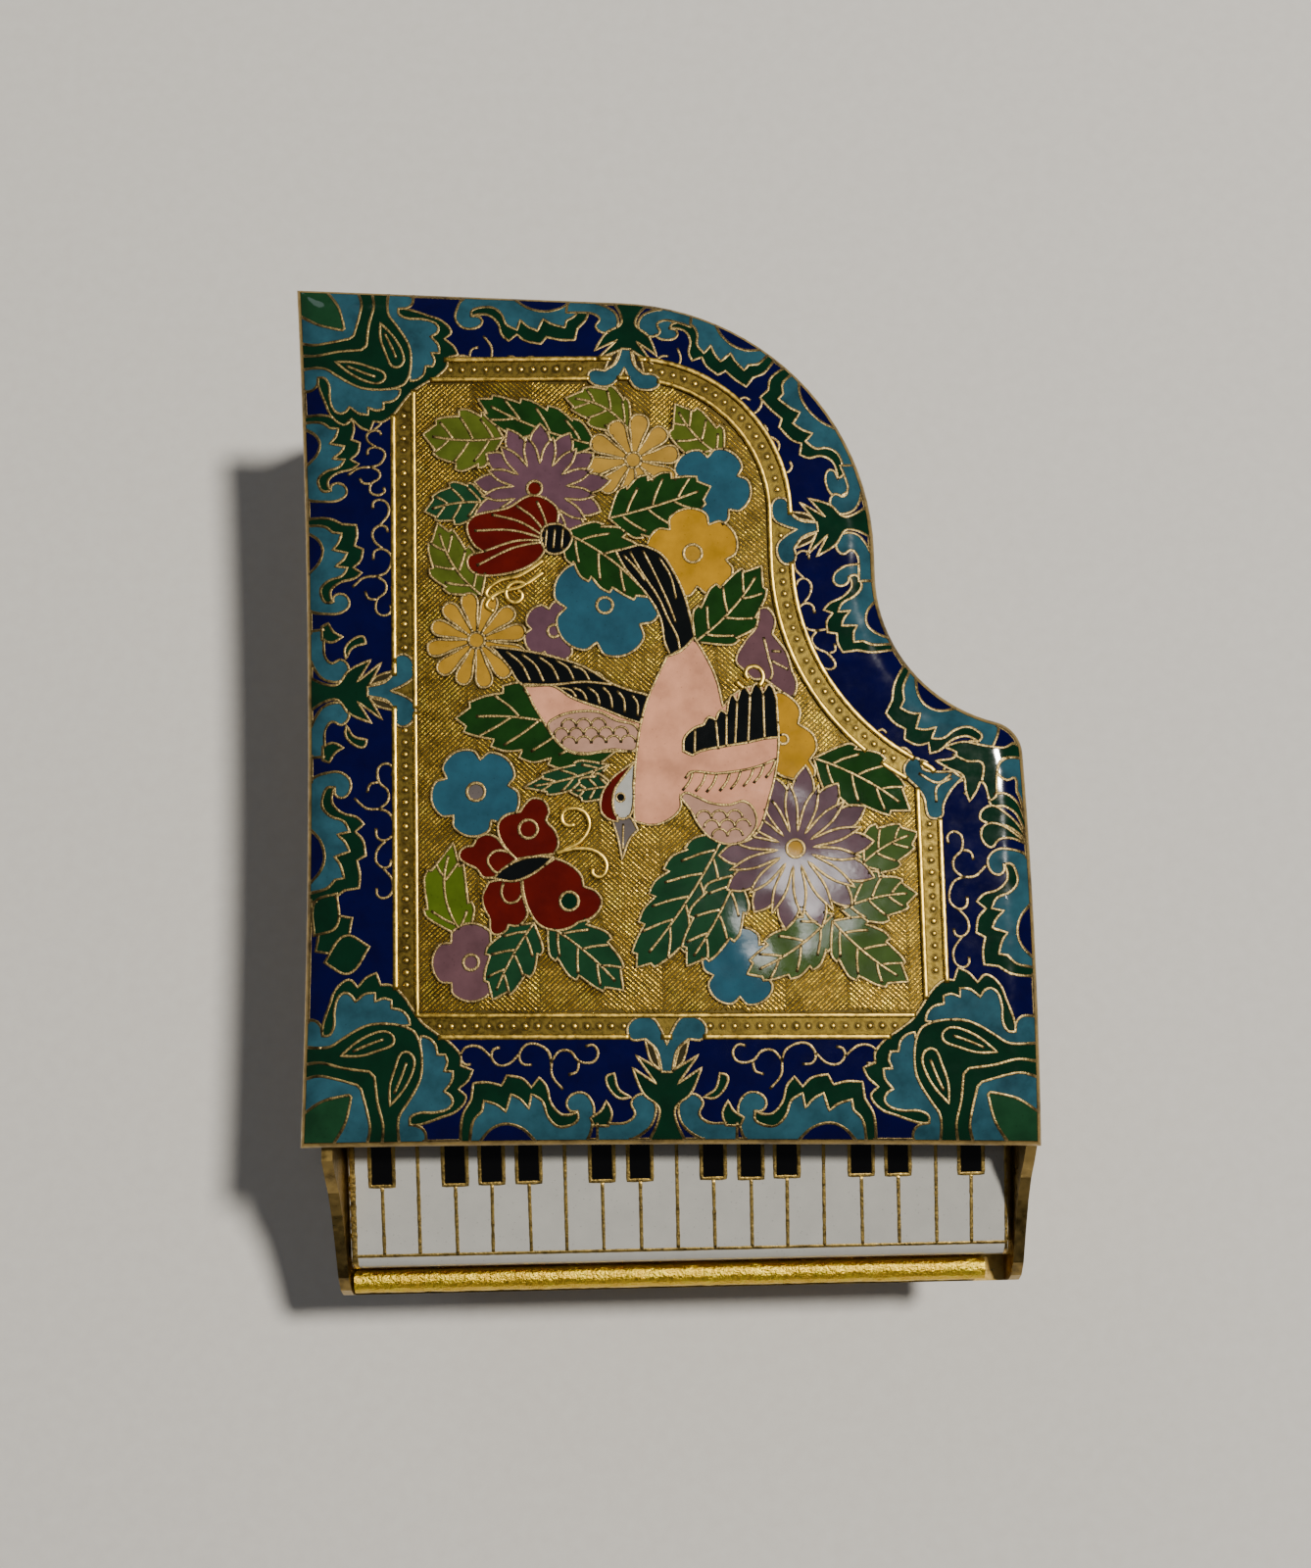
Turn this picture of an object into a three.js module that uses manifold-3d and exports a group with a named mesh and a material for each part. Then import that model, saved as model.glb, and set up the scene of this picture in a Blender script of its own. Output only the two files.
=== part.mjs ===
// A small metal and enamel box in the shape of a grand piano: a lift-off lid over a hollow case,
// a sloping keyboard plate with a key slip in front of it, and three turned legs.
// Millimetres, +Z up, +Y from the keyboard towards the tail, +X towards the bent side.
import * as THREE from 'three';
import { mergeVertices } from 'three/addons/utils/BufferGeometryUtils.js';
import Module from 'manifold-3d';

const wasm = await Module();
wasm.setup();

// Heights
const LEG_HEIGHT = 20;
const SEAM = 0.3;                 // gap between pieces that touch
const RIM_Z = 35.0;               // top edge of the case wall
const LID_BOTTOM_Z = RIM_Z + SEAM;
const LID_TOP_Z = 38.0;

// Sheet thicknesses
const WALL = 1.0;
const FLOOR = 1.0;
const LID_SHEET = 1.4;

// Outline of the lid. The tail is a convex arc, the bent side a concave one.
const LID = {
  left: -33.0, leftLean: 0.35, leftBow: 0.85, right: 33.3, rightBow: -0.3,
  tail: { x: -4.1, y: 21.2, r: 24.5 }, tailSlope: 3.6,
  bend: { x: 34.7, y: 18.6, r: 14.3 }, shoulder: 3.2,
  front: -32.95, frontSlope: -1.1, frontBow: 0.25,
};
// The case stands a little inside the lid and its side walls are straight.
const CASE_INSET = 1.0;
const CASE = {
  ...LID, left: -32.2, leftLean: 0, leftBow: 0, right: 34.25, rightBow: 0, frontSlope: 0, frontBow: 0,
};
const CASE_FRONT_Y = -47.15;

// Gold panel in the middle of the lid: line between the ground and its frame
const PANEL = {
  left: -22.15, leftLean: 0, leftBow: 0, right: 23.35, rightBow: 0,
  tail: { x: -2.4, y: 24.7, r: 13.1 }, tailSlope: 0.8,
  bend: { x: 34.2, y: 19.9, r: 23.5 }, shoulder: 0,
  front: -21.3, frontSlope: -1.2, frontBow: 0,
};
const PANEL_FRAME = 1.9;
const PANEL_SINK = 0.2;
const RIDGE_WIDTH = 0.42;
const RIDGE_HEIGHT = 0.15;

// Rolled edge of the lid
const ROLL_WIDTH = 3.0;
const ROLL_DROP = 1.35;

// Locating flange under the lid
const FLANGE_INSET = CASE_INSET + WALL + 0.9;
const FLANGE_WIDTH = 0.9;
const FLANGE_DEPTH = 2.3;

// Keyboard
const FALLBOARD_Y = -31.4;        // front face of the wall behind the keys
const KEY_BACK = { y: -31.7, z: 28.9 };
const KEY_FRONT = { y: -43.0, z: 26.6 };
const KEY_LIP = { y: -44.2, z: 25.1 };
const PLATE_THICKNESS = 1.2;
const SLIP_BACK_Y = -44.7;
const SLIP_FRONT_Y = -46.8;
const SLIP_TOP_Z = 24.7;
const SLIP_SHORT = 2.3;           // the slip ends this far from the cheek on the bent side
// Side view of the swept cheek tops, [y, z] from under the lid to the front
const CHEEK_TOP = [
  [-33.6, RIM_Z], [-35.2, 33.3], [-36.7, 31.5], [-38.9, 29.6], [-42.2, 27.4], [-45.0, 25.7], [-46.3, 24.3],
  [-46.9, 22.8], [CASE_FRONT_Y, 21.0],
];

// Legs: x, y of each one
const LEG_PLACES = {
  leg_front_left: [-25.6, -38.5],
  leg_front_right: [27.4, -38.5],
  leg_tail: [-10.5, 37.0],
};

function rad(degrees) {
  return degrees * Math.PI / 180;
}

// Points of an arc, both ends included
function arcPoints(arc, fromDegrees, toDegrees, steps, radius = arc.r) {
  const points = [];
  for (let i = 0; i <= steps; i += 1) {
    const angle = rad(fromDegrees + (toDegrees - fromDegrees) * i / steps);
    points.push(new THREE.Vector2(arc.x + radius * Math.cos(angle), arc.y + radius * Math.sin(angle)));
  }
  return points;
}

// Points between two ends, without them, bowed sideways by `bow` at the middle
function bowedPoints(from, to, bow, steps) {
  const points = [];
  const across = new THREE.Vector2(to.y - from.y, from.x - to.x).normalize();
  for (let i = 1; i < steps; i += 1) {
    const t = i / steps;
    const point = from.clone().lerp(to, t).addScaledVector(across, 4 * bow * t * (1 - t));
    points.push(point);
  }
  return points;
}

// Closed outline of a grand piano seen from above, moved inwards by `inset`, clockwise from the tail
function pianoOutline(form, inset = 0) {
  const leftX = (y) => form.left + inset - y * Math.tan(rad(form.leftLean));
  const right = form.right - inset;
  const tailRadius = form.tail.r - inset;
  const bendRadius = form.bend.r + inset;
  const tail = arcPoints(form.tail, 90 - form.tailSlope, 0, 12, tailRadius);
  const start = tail[0];
  const backX = leftX(start.y);
  const backLeft = new THREE.Vector2(backX, start.y + (start.x - backX) * Math.tan(rad(form.tailSlope)));
  let bendEnd;
  let shoulder = [];
  const fillet = form.shoulder - inset;
  if (fillet > 0.3) {
    const centre = { x: form.right - form.shoulder, y: 0 };
    const reach = form.bend.r + form.shoulder;
    centre.y = form.bend.y - Math.sqrt(reach ** 2 - (form.bend.x - centre.x) ** 2);
    bendEnd = 180 + Math.atan2(form.bend.y - centre.y, form.bend.x - centre.x) * 180 / Math.PI;
    shoulder = arcPoints(centre, bendEnd - 180, 0, 5, fillet).slice(1);
  } else {
    bendEnd = 180 + Math.acos((form.bend.x - right) / bendRadius) * 180 / Math.PI;
  }
  const bend = arcPoints(form.bend, 180, bendEnd, 9, bendRadius);
  const frontY = (x) => form.front + inset + x * Math.tan(rad(form.frontSlope));
  const frontRight = new THREE.Vector2(right, frontY(right));
  const frontX = leftX(form.front);
  const frontLeft = new THREE.Vector2(frontX, frontY(frontX));
  const rightTop = shoulder.length ? shoulder[shoulder.length - 1] : bend[bend.length - 1];
  return [
    backLeft,
    ...tail,
    ...bend,
    ...shoulder,
    ...bowedPoints(rightTop, frontRight, form.rightBow, form.rightBow ? 4 : 1),
    frontRight,
    ...bowedPoints(frontRight, frontLeft, form.frontBow, form.frontBow ? 4 : 1),
    frontLeft,
    ...bowedPoints(frontLeft, backLeft, form.leftBow, form.leftBow ? 6 : 1),
  ];
}

function toManifold(geometry) {
  const bare = geometry.clone();
  bare.deleteAttribute('normal');
  bare.deleteAttribute('uv');
  const merged = mergeVertices(bare, 1e-4);
  return new wasm.Manifold(new wasm.Mesh({
    numProp: 3,
    vertProperties: Float32Array.from(merged.attributes.position.array),
    triVerts: Uint32Array.from(merged.index.array),
  }));
}

function toGeometry(manifold) {
  const mesh = manifold.getMesh();
  const geometry = new THREE.BufferGeometry();
  geometry.setAttribute('position', new THREE.BufferAttribute(mesh.vertProperties, 3));
  geometry.setIndex(new THREE.BufferAttribute(mesh.triVerts, 1));
  geometry.computeVertexNormals();
  return geometry;
}

// Upright solid of an outline between two heights
function prism(points, bottom, top) {
  const geometry = new THREE.ExtrudeGeometry(new THREE.Shape(points), { depth: top - bottom, bevelEnabled: false });
  geometry.translate(0, 0, bottom);
  return toManifold(geometry);
}

// Solid of a side-view outline of [y, z] pairs between two x values
function sideProfile(pairs, left, right) {
  const shape = new THREE.Shape(pairs.map(([y, z]) => new THREE.Vector2(y, z)));
  const geometry = new THREE.ExtrudeGeometry(shape, { depth: right - left, bevelEnabled: false });
  geometry.rotateX(Math.PI / 2);
  geometry.rotateZ(Math.PI / 2);
  geometry.translate(left, 0, 0);
  return toManifold(geometry);
}

function ridge(form, outward) {
  const outer = prism(pianoOutline(form, -outward - RIDGE_WIDTH / 2), LID_TOP_Z - 0.6, LID_TOP_Z + RIDGE_HEIGHT);
  const inner = prism(pianoOutline(form, -outward + RIDGE_WIDTH / 2), LID_TOP_Z - 1, LID_TOP_Z + 1);
  return outer.subtract(inner);
}

function makeLid() {
  const shape = new THREE.Shape(pianoOutline(LID));
  const height = LID_TOP_Z - LID_BOTTOM_Z;
  const rolled = new THREE.ExtrudeGeometry(shape, {
    depth: height,
    bevelEnabled: true,
    bevelThickness: ROLL_DROP,
    bevelSize: ROLL_WIDTH,
    bevelOffset: -ROLL_WIDTH,
    bevelSegments: 5,
  });
  rolled.translate(0, 0, LID_TOP_Z - ROLL_DROP - height);
  const below = prism([
    new THREE.Vector2(-60, -60), new THREE.Vector2(60, -60),
    new THREE.Vector2(60, 60), new THREE.Vector2(-60, 60),
  ], LID_TOP_Z - 3 * ROLL_DROP - height, LID_BOTTOM_Z);
  const hollow = prism(pianoOutline(CASE, FLANGE_INSET + FLANGE_WIDTH), LID_BOTTOM_Z - 1, LID_TOP_Z - LID_SHEET);
  const flangeOutside = prism(pianoOutline(CASE, FLANGE_INSET), LID_BOTTOM_Z - FLANGE_DEPTH, LID_BOTTOM_Z + 0.5);
  const flangeInside = prism(pianoOutline(CASE, FLANGE_INSET + FLANGE_WIDTH), 0, LID_TOP_Z - LID_SHEET);
  const ground = prism(pianoOutline(PANEL), LID_TOP_Z - PANEL_SINK, LID_TOP_Z + 1);
  return toManifold(rolled)
    .subtract(below)
    .subtract(hollow)
    .add(flangeOutside.subtract(flangeInside))
    .subtract(ground)
    .add(ridge(PANEL, 0))
    .add(ridge(PANEL, PANEL_FRAME));
}

function makeCase() {
  const body = { ...CASE, front: CASE_FRONT_Y - CASE_INSET };
  const room = { ...CASE, front: FALLBOARD_Y - CASE_INSET };
  const left = CASE.left + CASE_INSET;
  const right = CASE.right - CASE_INSET;
  // side view of everything cut away above the keys, and of the swept cheek tops
  const swept = [[-33.6, 60], ...CHEEK_TOP, [CASE_FRONT_Y, 19], [-60, 19], [-60, 60]];
  const bedDrop = PLATE_THICKNESS + SEAM;
  const overKeys = [
    [FALLBOARD_Y, 60],
    [FALLBOARD_Y, KEY_BACK.z - bedDrop],
    [KEY_FRONT.y, KEY_FRONT.z - bedDrop],
    [SLIP_BACK_Y + SEAM, KEY_LIP.z - bedDrop],
    [SLIP_BACK_Y + SEAM, LEG_HEIGHT + FLOOR],
    [-60, LEG_HEIGHT + FLOOR],
    [-60, 60],
  ];
  // hollow under the key bed, open to the compartment behind it
  const bedBottom = bedDrop + WALL;
  const underKeys = [
    [FALLBOARD_Y + WALL + 0.5, LEG_HEIGHT + FLOOR],
    [FALLBOARD_Y + WALL + 0.5, KEY_BACK.z - bedBottom],
    [FALLBOARD_Y, KEY_BACK.z - bedBottom],
    [KEY_FRONT.y, KEY_FRONT.z - bedBottom],
    [SLIP_BACK_Y + SEAM + WALL, KEY_LIP.z - bedBottom],
    [SLIP_BACK_Y + SEAM + WALL, LEG_HEIGHT + FLOOR],
  ];
  return prism(pianoOutline(body, CASE_INSET), LEG_HEIGHT, RIM_Z)
    .subtract(prism(pianoOutline(room, CASE_INSET + WALL), LEG_HEIGHT + FLOOR, 60))
    .subtract(sideProfile(swept, -60, 60))
    .subtract(sideProfile(overKeys, left + WALL, right - WALL))
    .subtract(sideProfile(underKeys, left + WALL, right - WALL));
}

function makeKeyboardPlate() {
  const left = CASE.left + CASE_INSET + WALL + SEAM;
  const right = CASE.right - CASE_INSET - WALL - 0.45;
  const profile = [
    [KEY_BACK.y, KEY_BACK.z],
    [KEY_FRONT.y, KEY_FRONT.z],
    [KEY_FRONT.y - 0.65, KEY_FRONT.z - 0.35],
    [KEY_LIP.y + 0.15, KEY_LIP.z + 0.55],
    [KEY_LIP.y, KEY_LIP.z],
    [KEY_LIP.y, KEY_LIP.z - PLATE_THICKNESS],
    [KEY_FRONT.y, KEY_FRONT.z - PLATE_THICKNESS],
    [KEY_BACK.y, KEY_BACK.z - PLATE_THICKNESS],
  ];
  return sideProfile(profile, left, right);
}

function makeKeySlip() {
  const left = CASE.left + CASE_INSET + WALL + SEAM;
  const right = CASE.right - CASE_INSET - WALL - SLIP_SHORT;
  const bottom = LEG_HEIGHT + FLOOR + SEAM;
  const profile = [
    [SLIP_BACK_Y, bottom],
    [SLIP_BACK_Y, SLIP_TOP_Z - 0.3],
    [SLIP_BACK_Y - 0.4, SLIP_TOP_Z],
    [SLIP_FRONT_Y + 0.9, SLIP_TOP_Z - 0.1],
    [SLIP_FRONT_Y + 0.25, SLIP_TOP_Z - 0.7],
    [SLIP_FRONT_Y, SLIP_TOP_Z - 1.6],
    [SLIP_FRONT_Y, bottom],
  ];
  return sideProfile(profile, left, right);
}

// Turned leg: a round plate under the case, a slim baluster, and a ball foot flattened below
function makeLeg() {
  const height = LEG_HEIGHT - SEAM;
  const radii = [
    [0, 0], [1.35, 0], [1.75, 0.6], [1.75, 1.2], [1.3, 1.9], [0.95, 2.3], [1.0, 2.8], [1.45, 3.2], [1.45, 3.6],
    [1.05, 4.0], [1.3, 7.5], [1.9, 11.5], [2.25, 14.2], [2.1, 15.6], [1.4, 16.7], [1.4, 17.1], [2.3, 17.6],
    [2.3, 18.2], [2.9, 18.7], [2.9, height], [0, height],
  ];
  const profile = radii.map(([radius, z]) => new THREE.Vector2(radius, z));
  const geometry = new THREE.LatheGeometry(profile, 20);
  geometry.rotateX(Math.PI / 2);
  return toManifold(geometry);
}

function piece(name, manifold, color, roughness, metalness, x = 0, y = 0) {
  const material = new THREE.MeshStandardMaterial({ color, roughness, metalness });
  const mesh = new THREE.Mesh(toGeometry(manifold), material);
  mesh.name = name;
  mesh.position.set(x - CENTRE.x, y - CENTRE.y, 0);
  return mesh;
}

// Middle of the whole box seen from above, which becomes the origin
const CENTRE = { x: 0.15, y: 0.21 };

const box = new THREE.Group();
box.add(piece('lid', makeLid(), 0x10105a, 0.2, 0.1));
box.add(piece('case', makeCase(), 0x8a6a35, 0.38, 0.95));
box.add(piece('keyboard_plate', makeKeyboardPlate(), 0xcfd2cd, 0.25, 0.05));
box.add(piece('key_slip', makeKeySlip(), 0xc49a42, 0.42, 0.95));
for (const [name, [x, y]] of Object.entries(LEG_PLACES)) {
  box.add(piece(name, makeLeg(), 0x9a7638, 0.35, 0.95, x, y));
}

export default box;
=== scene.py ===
import math
import random

import bmesh
import bpy
import numpy as np
from mathutils import Matrix, Vector
from mathutils.geometry import delaunay_2d_cdt


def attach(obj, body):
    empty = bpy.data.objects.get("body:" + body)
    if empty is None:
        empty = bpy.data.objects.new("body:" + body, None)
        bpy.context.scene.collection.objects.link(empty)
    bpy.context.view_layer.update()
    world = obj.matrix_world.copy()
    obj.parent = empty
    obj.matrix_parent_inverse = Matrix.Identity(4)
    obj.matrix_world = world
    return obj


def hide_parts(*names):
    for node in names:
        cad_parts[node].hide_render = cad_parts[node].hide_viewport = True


# A small piano-shaped box: enamel and gilt wires on the lid, keyboard plate and walls.
# Shapes are drawn in millimetres and placed in the row frame in metres.
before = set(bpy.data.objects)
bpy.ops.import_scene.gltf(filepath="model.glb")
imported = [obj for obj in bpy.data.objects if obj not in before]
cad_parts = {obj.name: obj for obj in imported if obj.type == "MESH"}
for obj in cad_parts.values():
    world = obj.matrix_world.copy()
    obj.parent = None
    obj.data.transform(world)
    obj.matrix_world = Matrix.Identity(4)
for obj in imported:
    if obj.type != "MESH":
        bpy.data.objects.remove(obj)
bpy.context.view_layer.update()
chance = random.Random(7)
noise = np.random.default_rng(7)

CENTRE = (0.15, 0.21)
MM = 0.001

# Heights
LEG_HEIGHT = 20.0
FLOOR = 1.0
SEAM = 0.3
RIM_Z = 35.0
LID_BOTTOM_Z = RIM_Z + SEAM
LID_TOP_Z = 38.0
LID_SHEET = 1.4
WALL = 1.0

# Outlines seen from above
LID = dict(left=-33.0, lean=0.35, left_bow=0.85, right=33.3, right_bow=-0.3,
           tail=(-4.1, 21.2, 24.5), tail_slope=3.6, bend=(34.7, 18.6, 14.3), shoulder=3.2,
           front=-32.95, front_slope=-1.1, front_bow=0.25)
CASE_INSET = 1.0
CASE = dict(LID, left=-32.2, lean=0.0, left_bow=0.0, right=34.25, right_bow=0.0,
            front_slope=0.0, front_bow=0.0)
CASE_FRONT_Y = -47.15
PANEL = dict(left=-22.15, lean=0.0, left_bow=0.0, right=23.35, right_bow=0.0,
             tail=(-2.4, 24.7, 13.1), tail_slope=0.8, bend=(34.2, 19.9, 23.5), shoulder=0.0,
             front=-21.3, front_slope=-1.2, front_bow=0.0)
PANEL_FRAME = 1.9
PANEL_SINK = 0.2

# Edge of the lid
RIM = 0.5
ROLL_WIDTH = 3.0
ROLL_DROP = 1.35
FLANGE_INSET = CASE_INSET + WALL + 0.9
FLANGE_WIDTH = 0.9
FLANGE_DEPTH = 2.3

# Enamel work
WIRE = 0.28
WIRE_LIFT = 0.035
RAISED = dict(wire=0.45, lift=0.1, kind="ridge")
RIDGE = 0.48
RIDGE_LIFT = 0.115
ENAMEL_SINK = 0.02
SLAB = 0.3
STEP = 0.35
GRID = 0.62

# Keyboard
KEY_BACK = (-31.7, 28.9)
KEY_FRONT = (-43.0, 26.6)
KEY_LIP = (-44.2, 25.1)
PLATE_THICKNESS = 1.2
SLIP_BACK_Y = -44.7
SLIP_FRONT_Y = -46.8
SLIP_TOP_Z = 24.7
SLIP_SHORT = 2.3
CASE_LEFT = CASE["left"] + CASE_INSET
CASE_RIGHT = CASE["right"] - CASE_INSET

LEG_PLACES = dict(leg_front_left=(-25.6, -38.5), leg_front_right=(27.4, -38.5), leg_tail=(-10.5, 37.0))


# Plane curves

def polar(x, y, reach, angle):
    return x + reach * math.cos(angle), y + reach * math.sin(angle)


def arc(centre, start, end, steps, inset=0.0):
    angles = np.radians(np.linspace(start, end, steps + 1))
    radius = centre[2] + inset
    return np.column_stack([centre[0] + radius * np.cos(angles), centre[1] + radius * np.sin(angles)])


def bowed(start, end, bow, steps):
    start, end = np.array(start), np.array(end)
    t = np.linspace(0, 1, steps + 1)[1:-1, None]
    along = end - start
    across = np.array([along[1], -along[0]]) / np.hypot(*along)
    return start + along * t + across * 4 * bow * t * (1 - t)


def piano_outline(form, inset=0.0, fine=4):
    """Closed outline, clockwise from the back left corner, moved inwards by inset."""
    def left_x(y):
        return form["left"] + inset - y * math.tan(math.radians(form["lean"]))

    def front_y(x):
        return form["front"] + inset + x * math.tan(math.radians(form["front_slope"]))

    right = form["right"] - inset
    tail = arc(form["tail"], 90 - form["tail_slope"], 0, 6 * fine, -inset)
    back_x = left_x(tail[0][1])
    back_left = (back_x, tail[0][1] + (tail[0][0] - back_x) * math.tan(math.radians(form["tail_slope"])))
    bend_x, bend_y, bend_r = form["bend"]
    fillet = form["shoulder"] - inset
    if fillet > 0.02:
        centre_x = form["right"] - form["shoulder"]
        reach = bend_r + form["shoulder"]
        centre_y = bend_y - math.sqrt(reach ** 2 - (bend_x - centre_x) ** 2)
        bend_end = 180 + math.degrees(math.atan2(bend_y - centre_y, bend_x - centre_x))
        shoulder = arc((centre_x, centre_y, form["shoulder"]), bend_end - 180, 0, 2 * fine, -inset)[1:]
    else:
        bend_end = 180 + math.degrees(math.acos((bend_x - right) / (bend_r + inset)))
        shoulder = np.empty((0, 2))
    bend = arc(form["bend"], 180, bend_end, 5 * fine, inset)
    if not len(shoulder):
        shoulder = np.repeat(bend[-1:], 2 * fine, axis=0)
    front_right = (right, front_y(right))
    front_x = left_x(form["front"])
    front_left = (front_x, front_y(front_x))
    return np.vstack([
        [back_left], bowed(back_left, tail[0], 0, 2 * fine), tail, bend, shoulder,
        bowed(shoulder[-1], front_right, form["right_bow"], 3 * fine), [front_right],
        bowed(front_right, front_left, form["front_bow"], 4 * fine), [front_left],
        bowed(front_left, back_left, form["left_bow"], 5 * fine),
    ])


def resample(points, step=STEP, closed=False):
    points = np.asarray(points, float)
    if closed:
        points = np.vstack([points, points[:1]])
    lengths = np.hypot(*np.diff(points, axis=0).T)
    keep = np.r_[True, lengths > 1e-6]
    points = points[keep]
    places = np.r_[0, np.cumsum(lengths[lengths > 1e-6])]
    count = max(3 if closed else 1, round(places[-1] / step))
    wanted = np.linspace(0, places[-1], count + 1)
    result = np.column_stack([np.interp(wanted, places, points[:, i]) for i in (0, 1)])
    return result[:-1] if closed else result


def subdivide(points, step=STEP, closed=False):
    """The same line with no stretch longer than step, corners kept."""
    points = np.asarray(points, float)
    following = np.roll(points, -1, axis=0) if closed else points[1:]
    result = []
    for start, end in zip(points, following):
        length = np.hypot(*(end - start))
        if length > 0.02:
            pieces = max(1, math.ceil(length / step))
            result += [start + (end - start) * i / pieces for i in range(pieces)]
    if not closed:
        result.append(points[-1])
    return np.array(result)


def smooth(points, closed=True, step=STEP):
    """Curve through a few points. A point with a third value is a sharp corner."""
    flat = np.array([p[:2] for p in points], float)
    sharp = [len(p) > 2 for p in points]
    count = len(flat)
    curve = []
    for i in range(count if closed else count - 1):
        j = (i + 1) % count
        chord = flat[j] - flat[i]
        length = np.hypot(*chord)
        if length < 1e-6:
            continue
        ends = []
        for k in (i, j):
            if sharp[k] or (not closed and k in (0, count - 1)):
                ends.append(chord)
            else:
                across = flat[(k + 1) % count] - flat[k - 1]
                ends.append(across / max(np.hypot(*across), 1e-6) * length)
        t = np.linspace(0, 1, max(2, math.ceil(length / step)) + 1)[:-1, None]
        curve.append((2 * t ** 3 - 3 * t ** 2 + 1) * flat[i] + (t ** 3 - 2 * t ** 2 + t) * ends[0]
                     + (3 * t ** 2 - 2 * t ** 3) * flat[j] + (t ** 3 - t ** 2) * ends[1])
    if not closed:
        curve.append(flat[-1:])
    return np.vstack(curve)


def inside(polygon, points):
    """For each point, whether it lies in the polygon."""
    x, y = points[:, 0], points[:, 1]
    result = np.zeros(len(points), bool)
    near = ((x >= polygon[:, 0].min()) & (x <= polygon[:, 0].max())
            & (y >= polygon[:, 1].min()) & (y <= polygon[:, 1].max()))
    if not near.any():
        return result
    px, py = x[near][:, None], y[near][:, None]
    ax, ay = polygon[:, 0], polygon[:, 1]
    bx, by = np.roll(ax, -1), np.roll(ay, -1)
    crosses = (ay > py) != (by > py)
    slope = np.where(by == ay, 1, by - ay)
    hits = crosses & (px < (bx - ax) * (py - ay) / slope + ax)
    result[near] = hits.sum(1) % 2 == 1
    return result


def distance_to(polygon, points):
    """Shortest distance from each point to the closed polygon."""
    starts, ends = polygon, np.roll(polygon, -1, axis=0)
    along = ends - starts
    length2 = np.maximum((along ** 2).sum(1), 1e-12)
    best = np.full(len(points), 1e9)
    for first in range(0, len(points), 4000):
        some = points[first:first + 4000]
        offset = some[:, None] - starts[None]
        t = np.clip((offset * along).sum(2) / length2, 0, 1)
        gap = offset - along * t[..., None]
        best[first:first + 4000] = np.sqrt((gap ** 2).sum(2).min(1))
    return best


# Meshes

def mark_slab_edges(mesh):
    """Sharp edges round the upright sides of a slab, so that its top stays level in the light."""
    half = len(mesh.vertices) // 2
    sides = set()
    for face in mesh.polygons:
        if min(face.vertices) < half <= max(face.vertices):
            sides.update(face.edge_keys)
    for edge in mesh.edges:
        edge.use_edge_sharp = edge.key in sides


def make_object(name, points, faces, material, body="root", replaces=None, slot=None, smooth_shading=True):
    """Mesh object from millimetre points in the drawing frame."""
    points = (np.asarray(points, float) - np.array([CENTRE[0], CENTRE[1], 0.0])) * MM
    mesh = bpy.data.meshes.new(name)
    mesh.from_pydata(points.tolist(), [], [list(map(int, face)) for face in faces])
    mesh.validate()
    mesh.polygons.foreach_set("use_smooth", [bool(smooth_shading)] * len(mesh.polygons))
    if smooth_shading == "slab":
        mark_slab_edges(mesh)
    mesh.materials.append(material)
    made = bpy.data.objects.new(name, mesh)
    bpy.context.scene.collection.objects.link(made)
    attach(made, body)
    if replaces:
        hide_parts(replaces)
    return made


def tidy_mesh(made, sharp_degrees=None):
    """Merges double points, turns the normals out and marks sharp edges."""
    work = bmesh.new()
    work.from_mesh(made.data)
    bmesh.ops.remove_doubles(work, verts=work.verts, dist=1e-6)
    bmesh.ops.dissolve_degenerate(work, edges=work.edges, dist=1e-7)
    bmesh.ops.recalc_face_normals(work, faces=work.faces)
    if sharp_degrees:
        limit = math.radians(sharp_degrees)
        for edge in work.edges:
            edge.smooth = len(edge.link_faces) == 2 and edge.calc_face_angle(0) < limit
    work.to_mesh(made.data)
    work.free()
    return made


class Heap:
    """Collects points and faces of many small shapes for one mesh."""

    def __init__(self):
        self.points = []
        self.faces = []
        self.count = 0

    def add(self, points, faces):
        self.points.append(np.asarray(points, float))
        self.faces.extend([tuple(i + self.count for i in face) for face in faces])
        self.count += len(points)

    def build(self, name, material, **options):
        return make_object(name, np.vstack(self.points), self.faces, material, **options)


def loft(rings):
    """Closed skin through rings of equal length, with a cap on the first and last."""
    count = len(rings[0])
    faces = [tuple(range(count))[::-1]]
    for r in range(len(rings) - 1):
        low, high = r * count, (r + 1) * count
        for i in range(count):
            j = (i + 1) % count
            faces.append((low + i, low + j, high + j, high + i))
    faces.append(tuple(range((len(rings) - 1) * count, len(rings) * count)))
    return np.vstack(rings), faces


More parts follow.
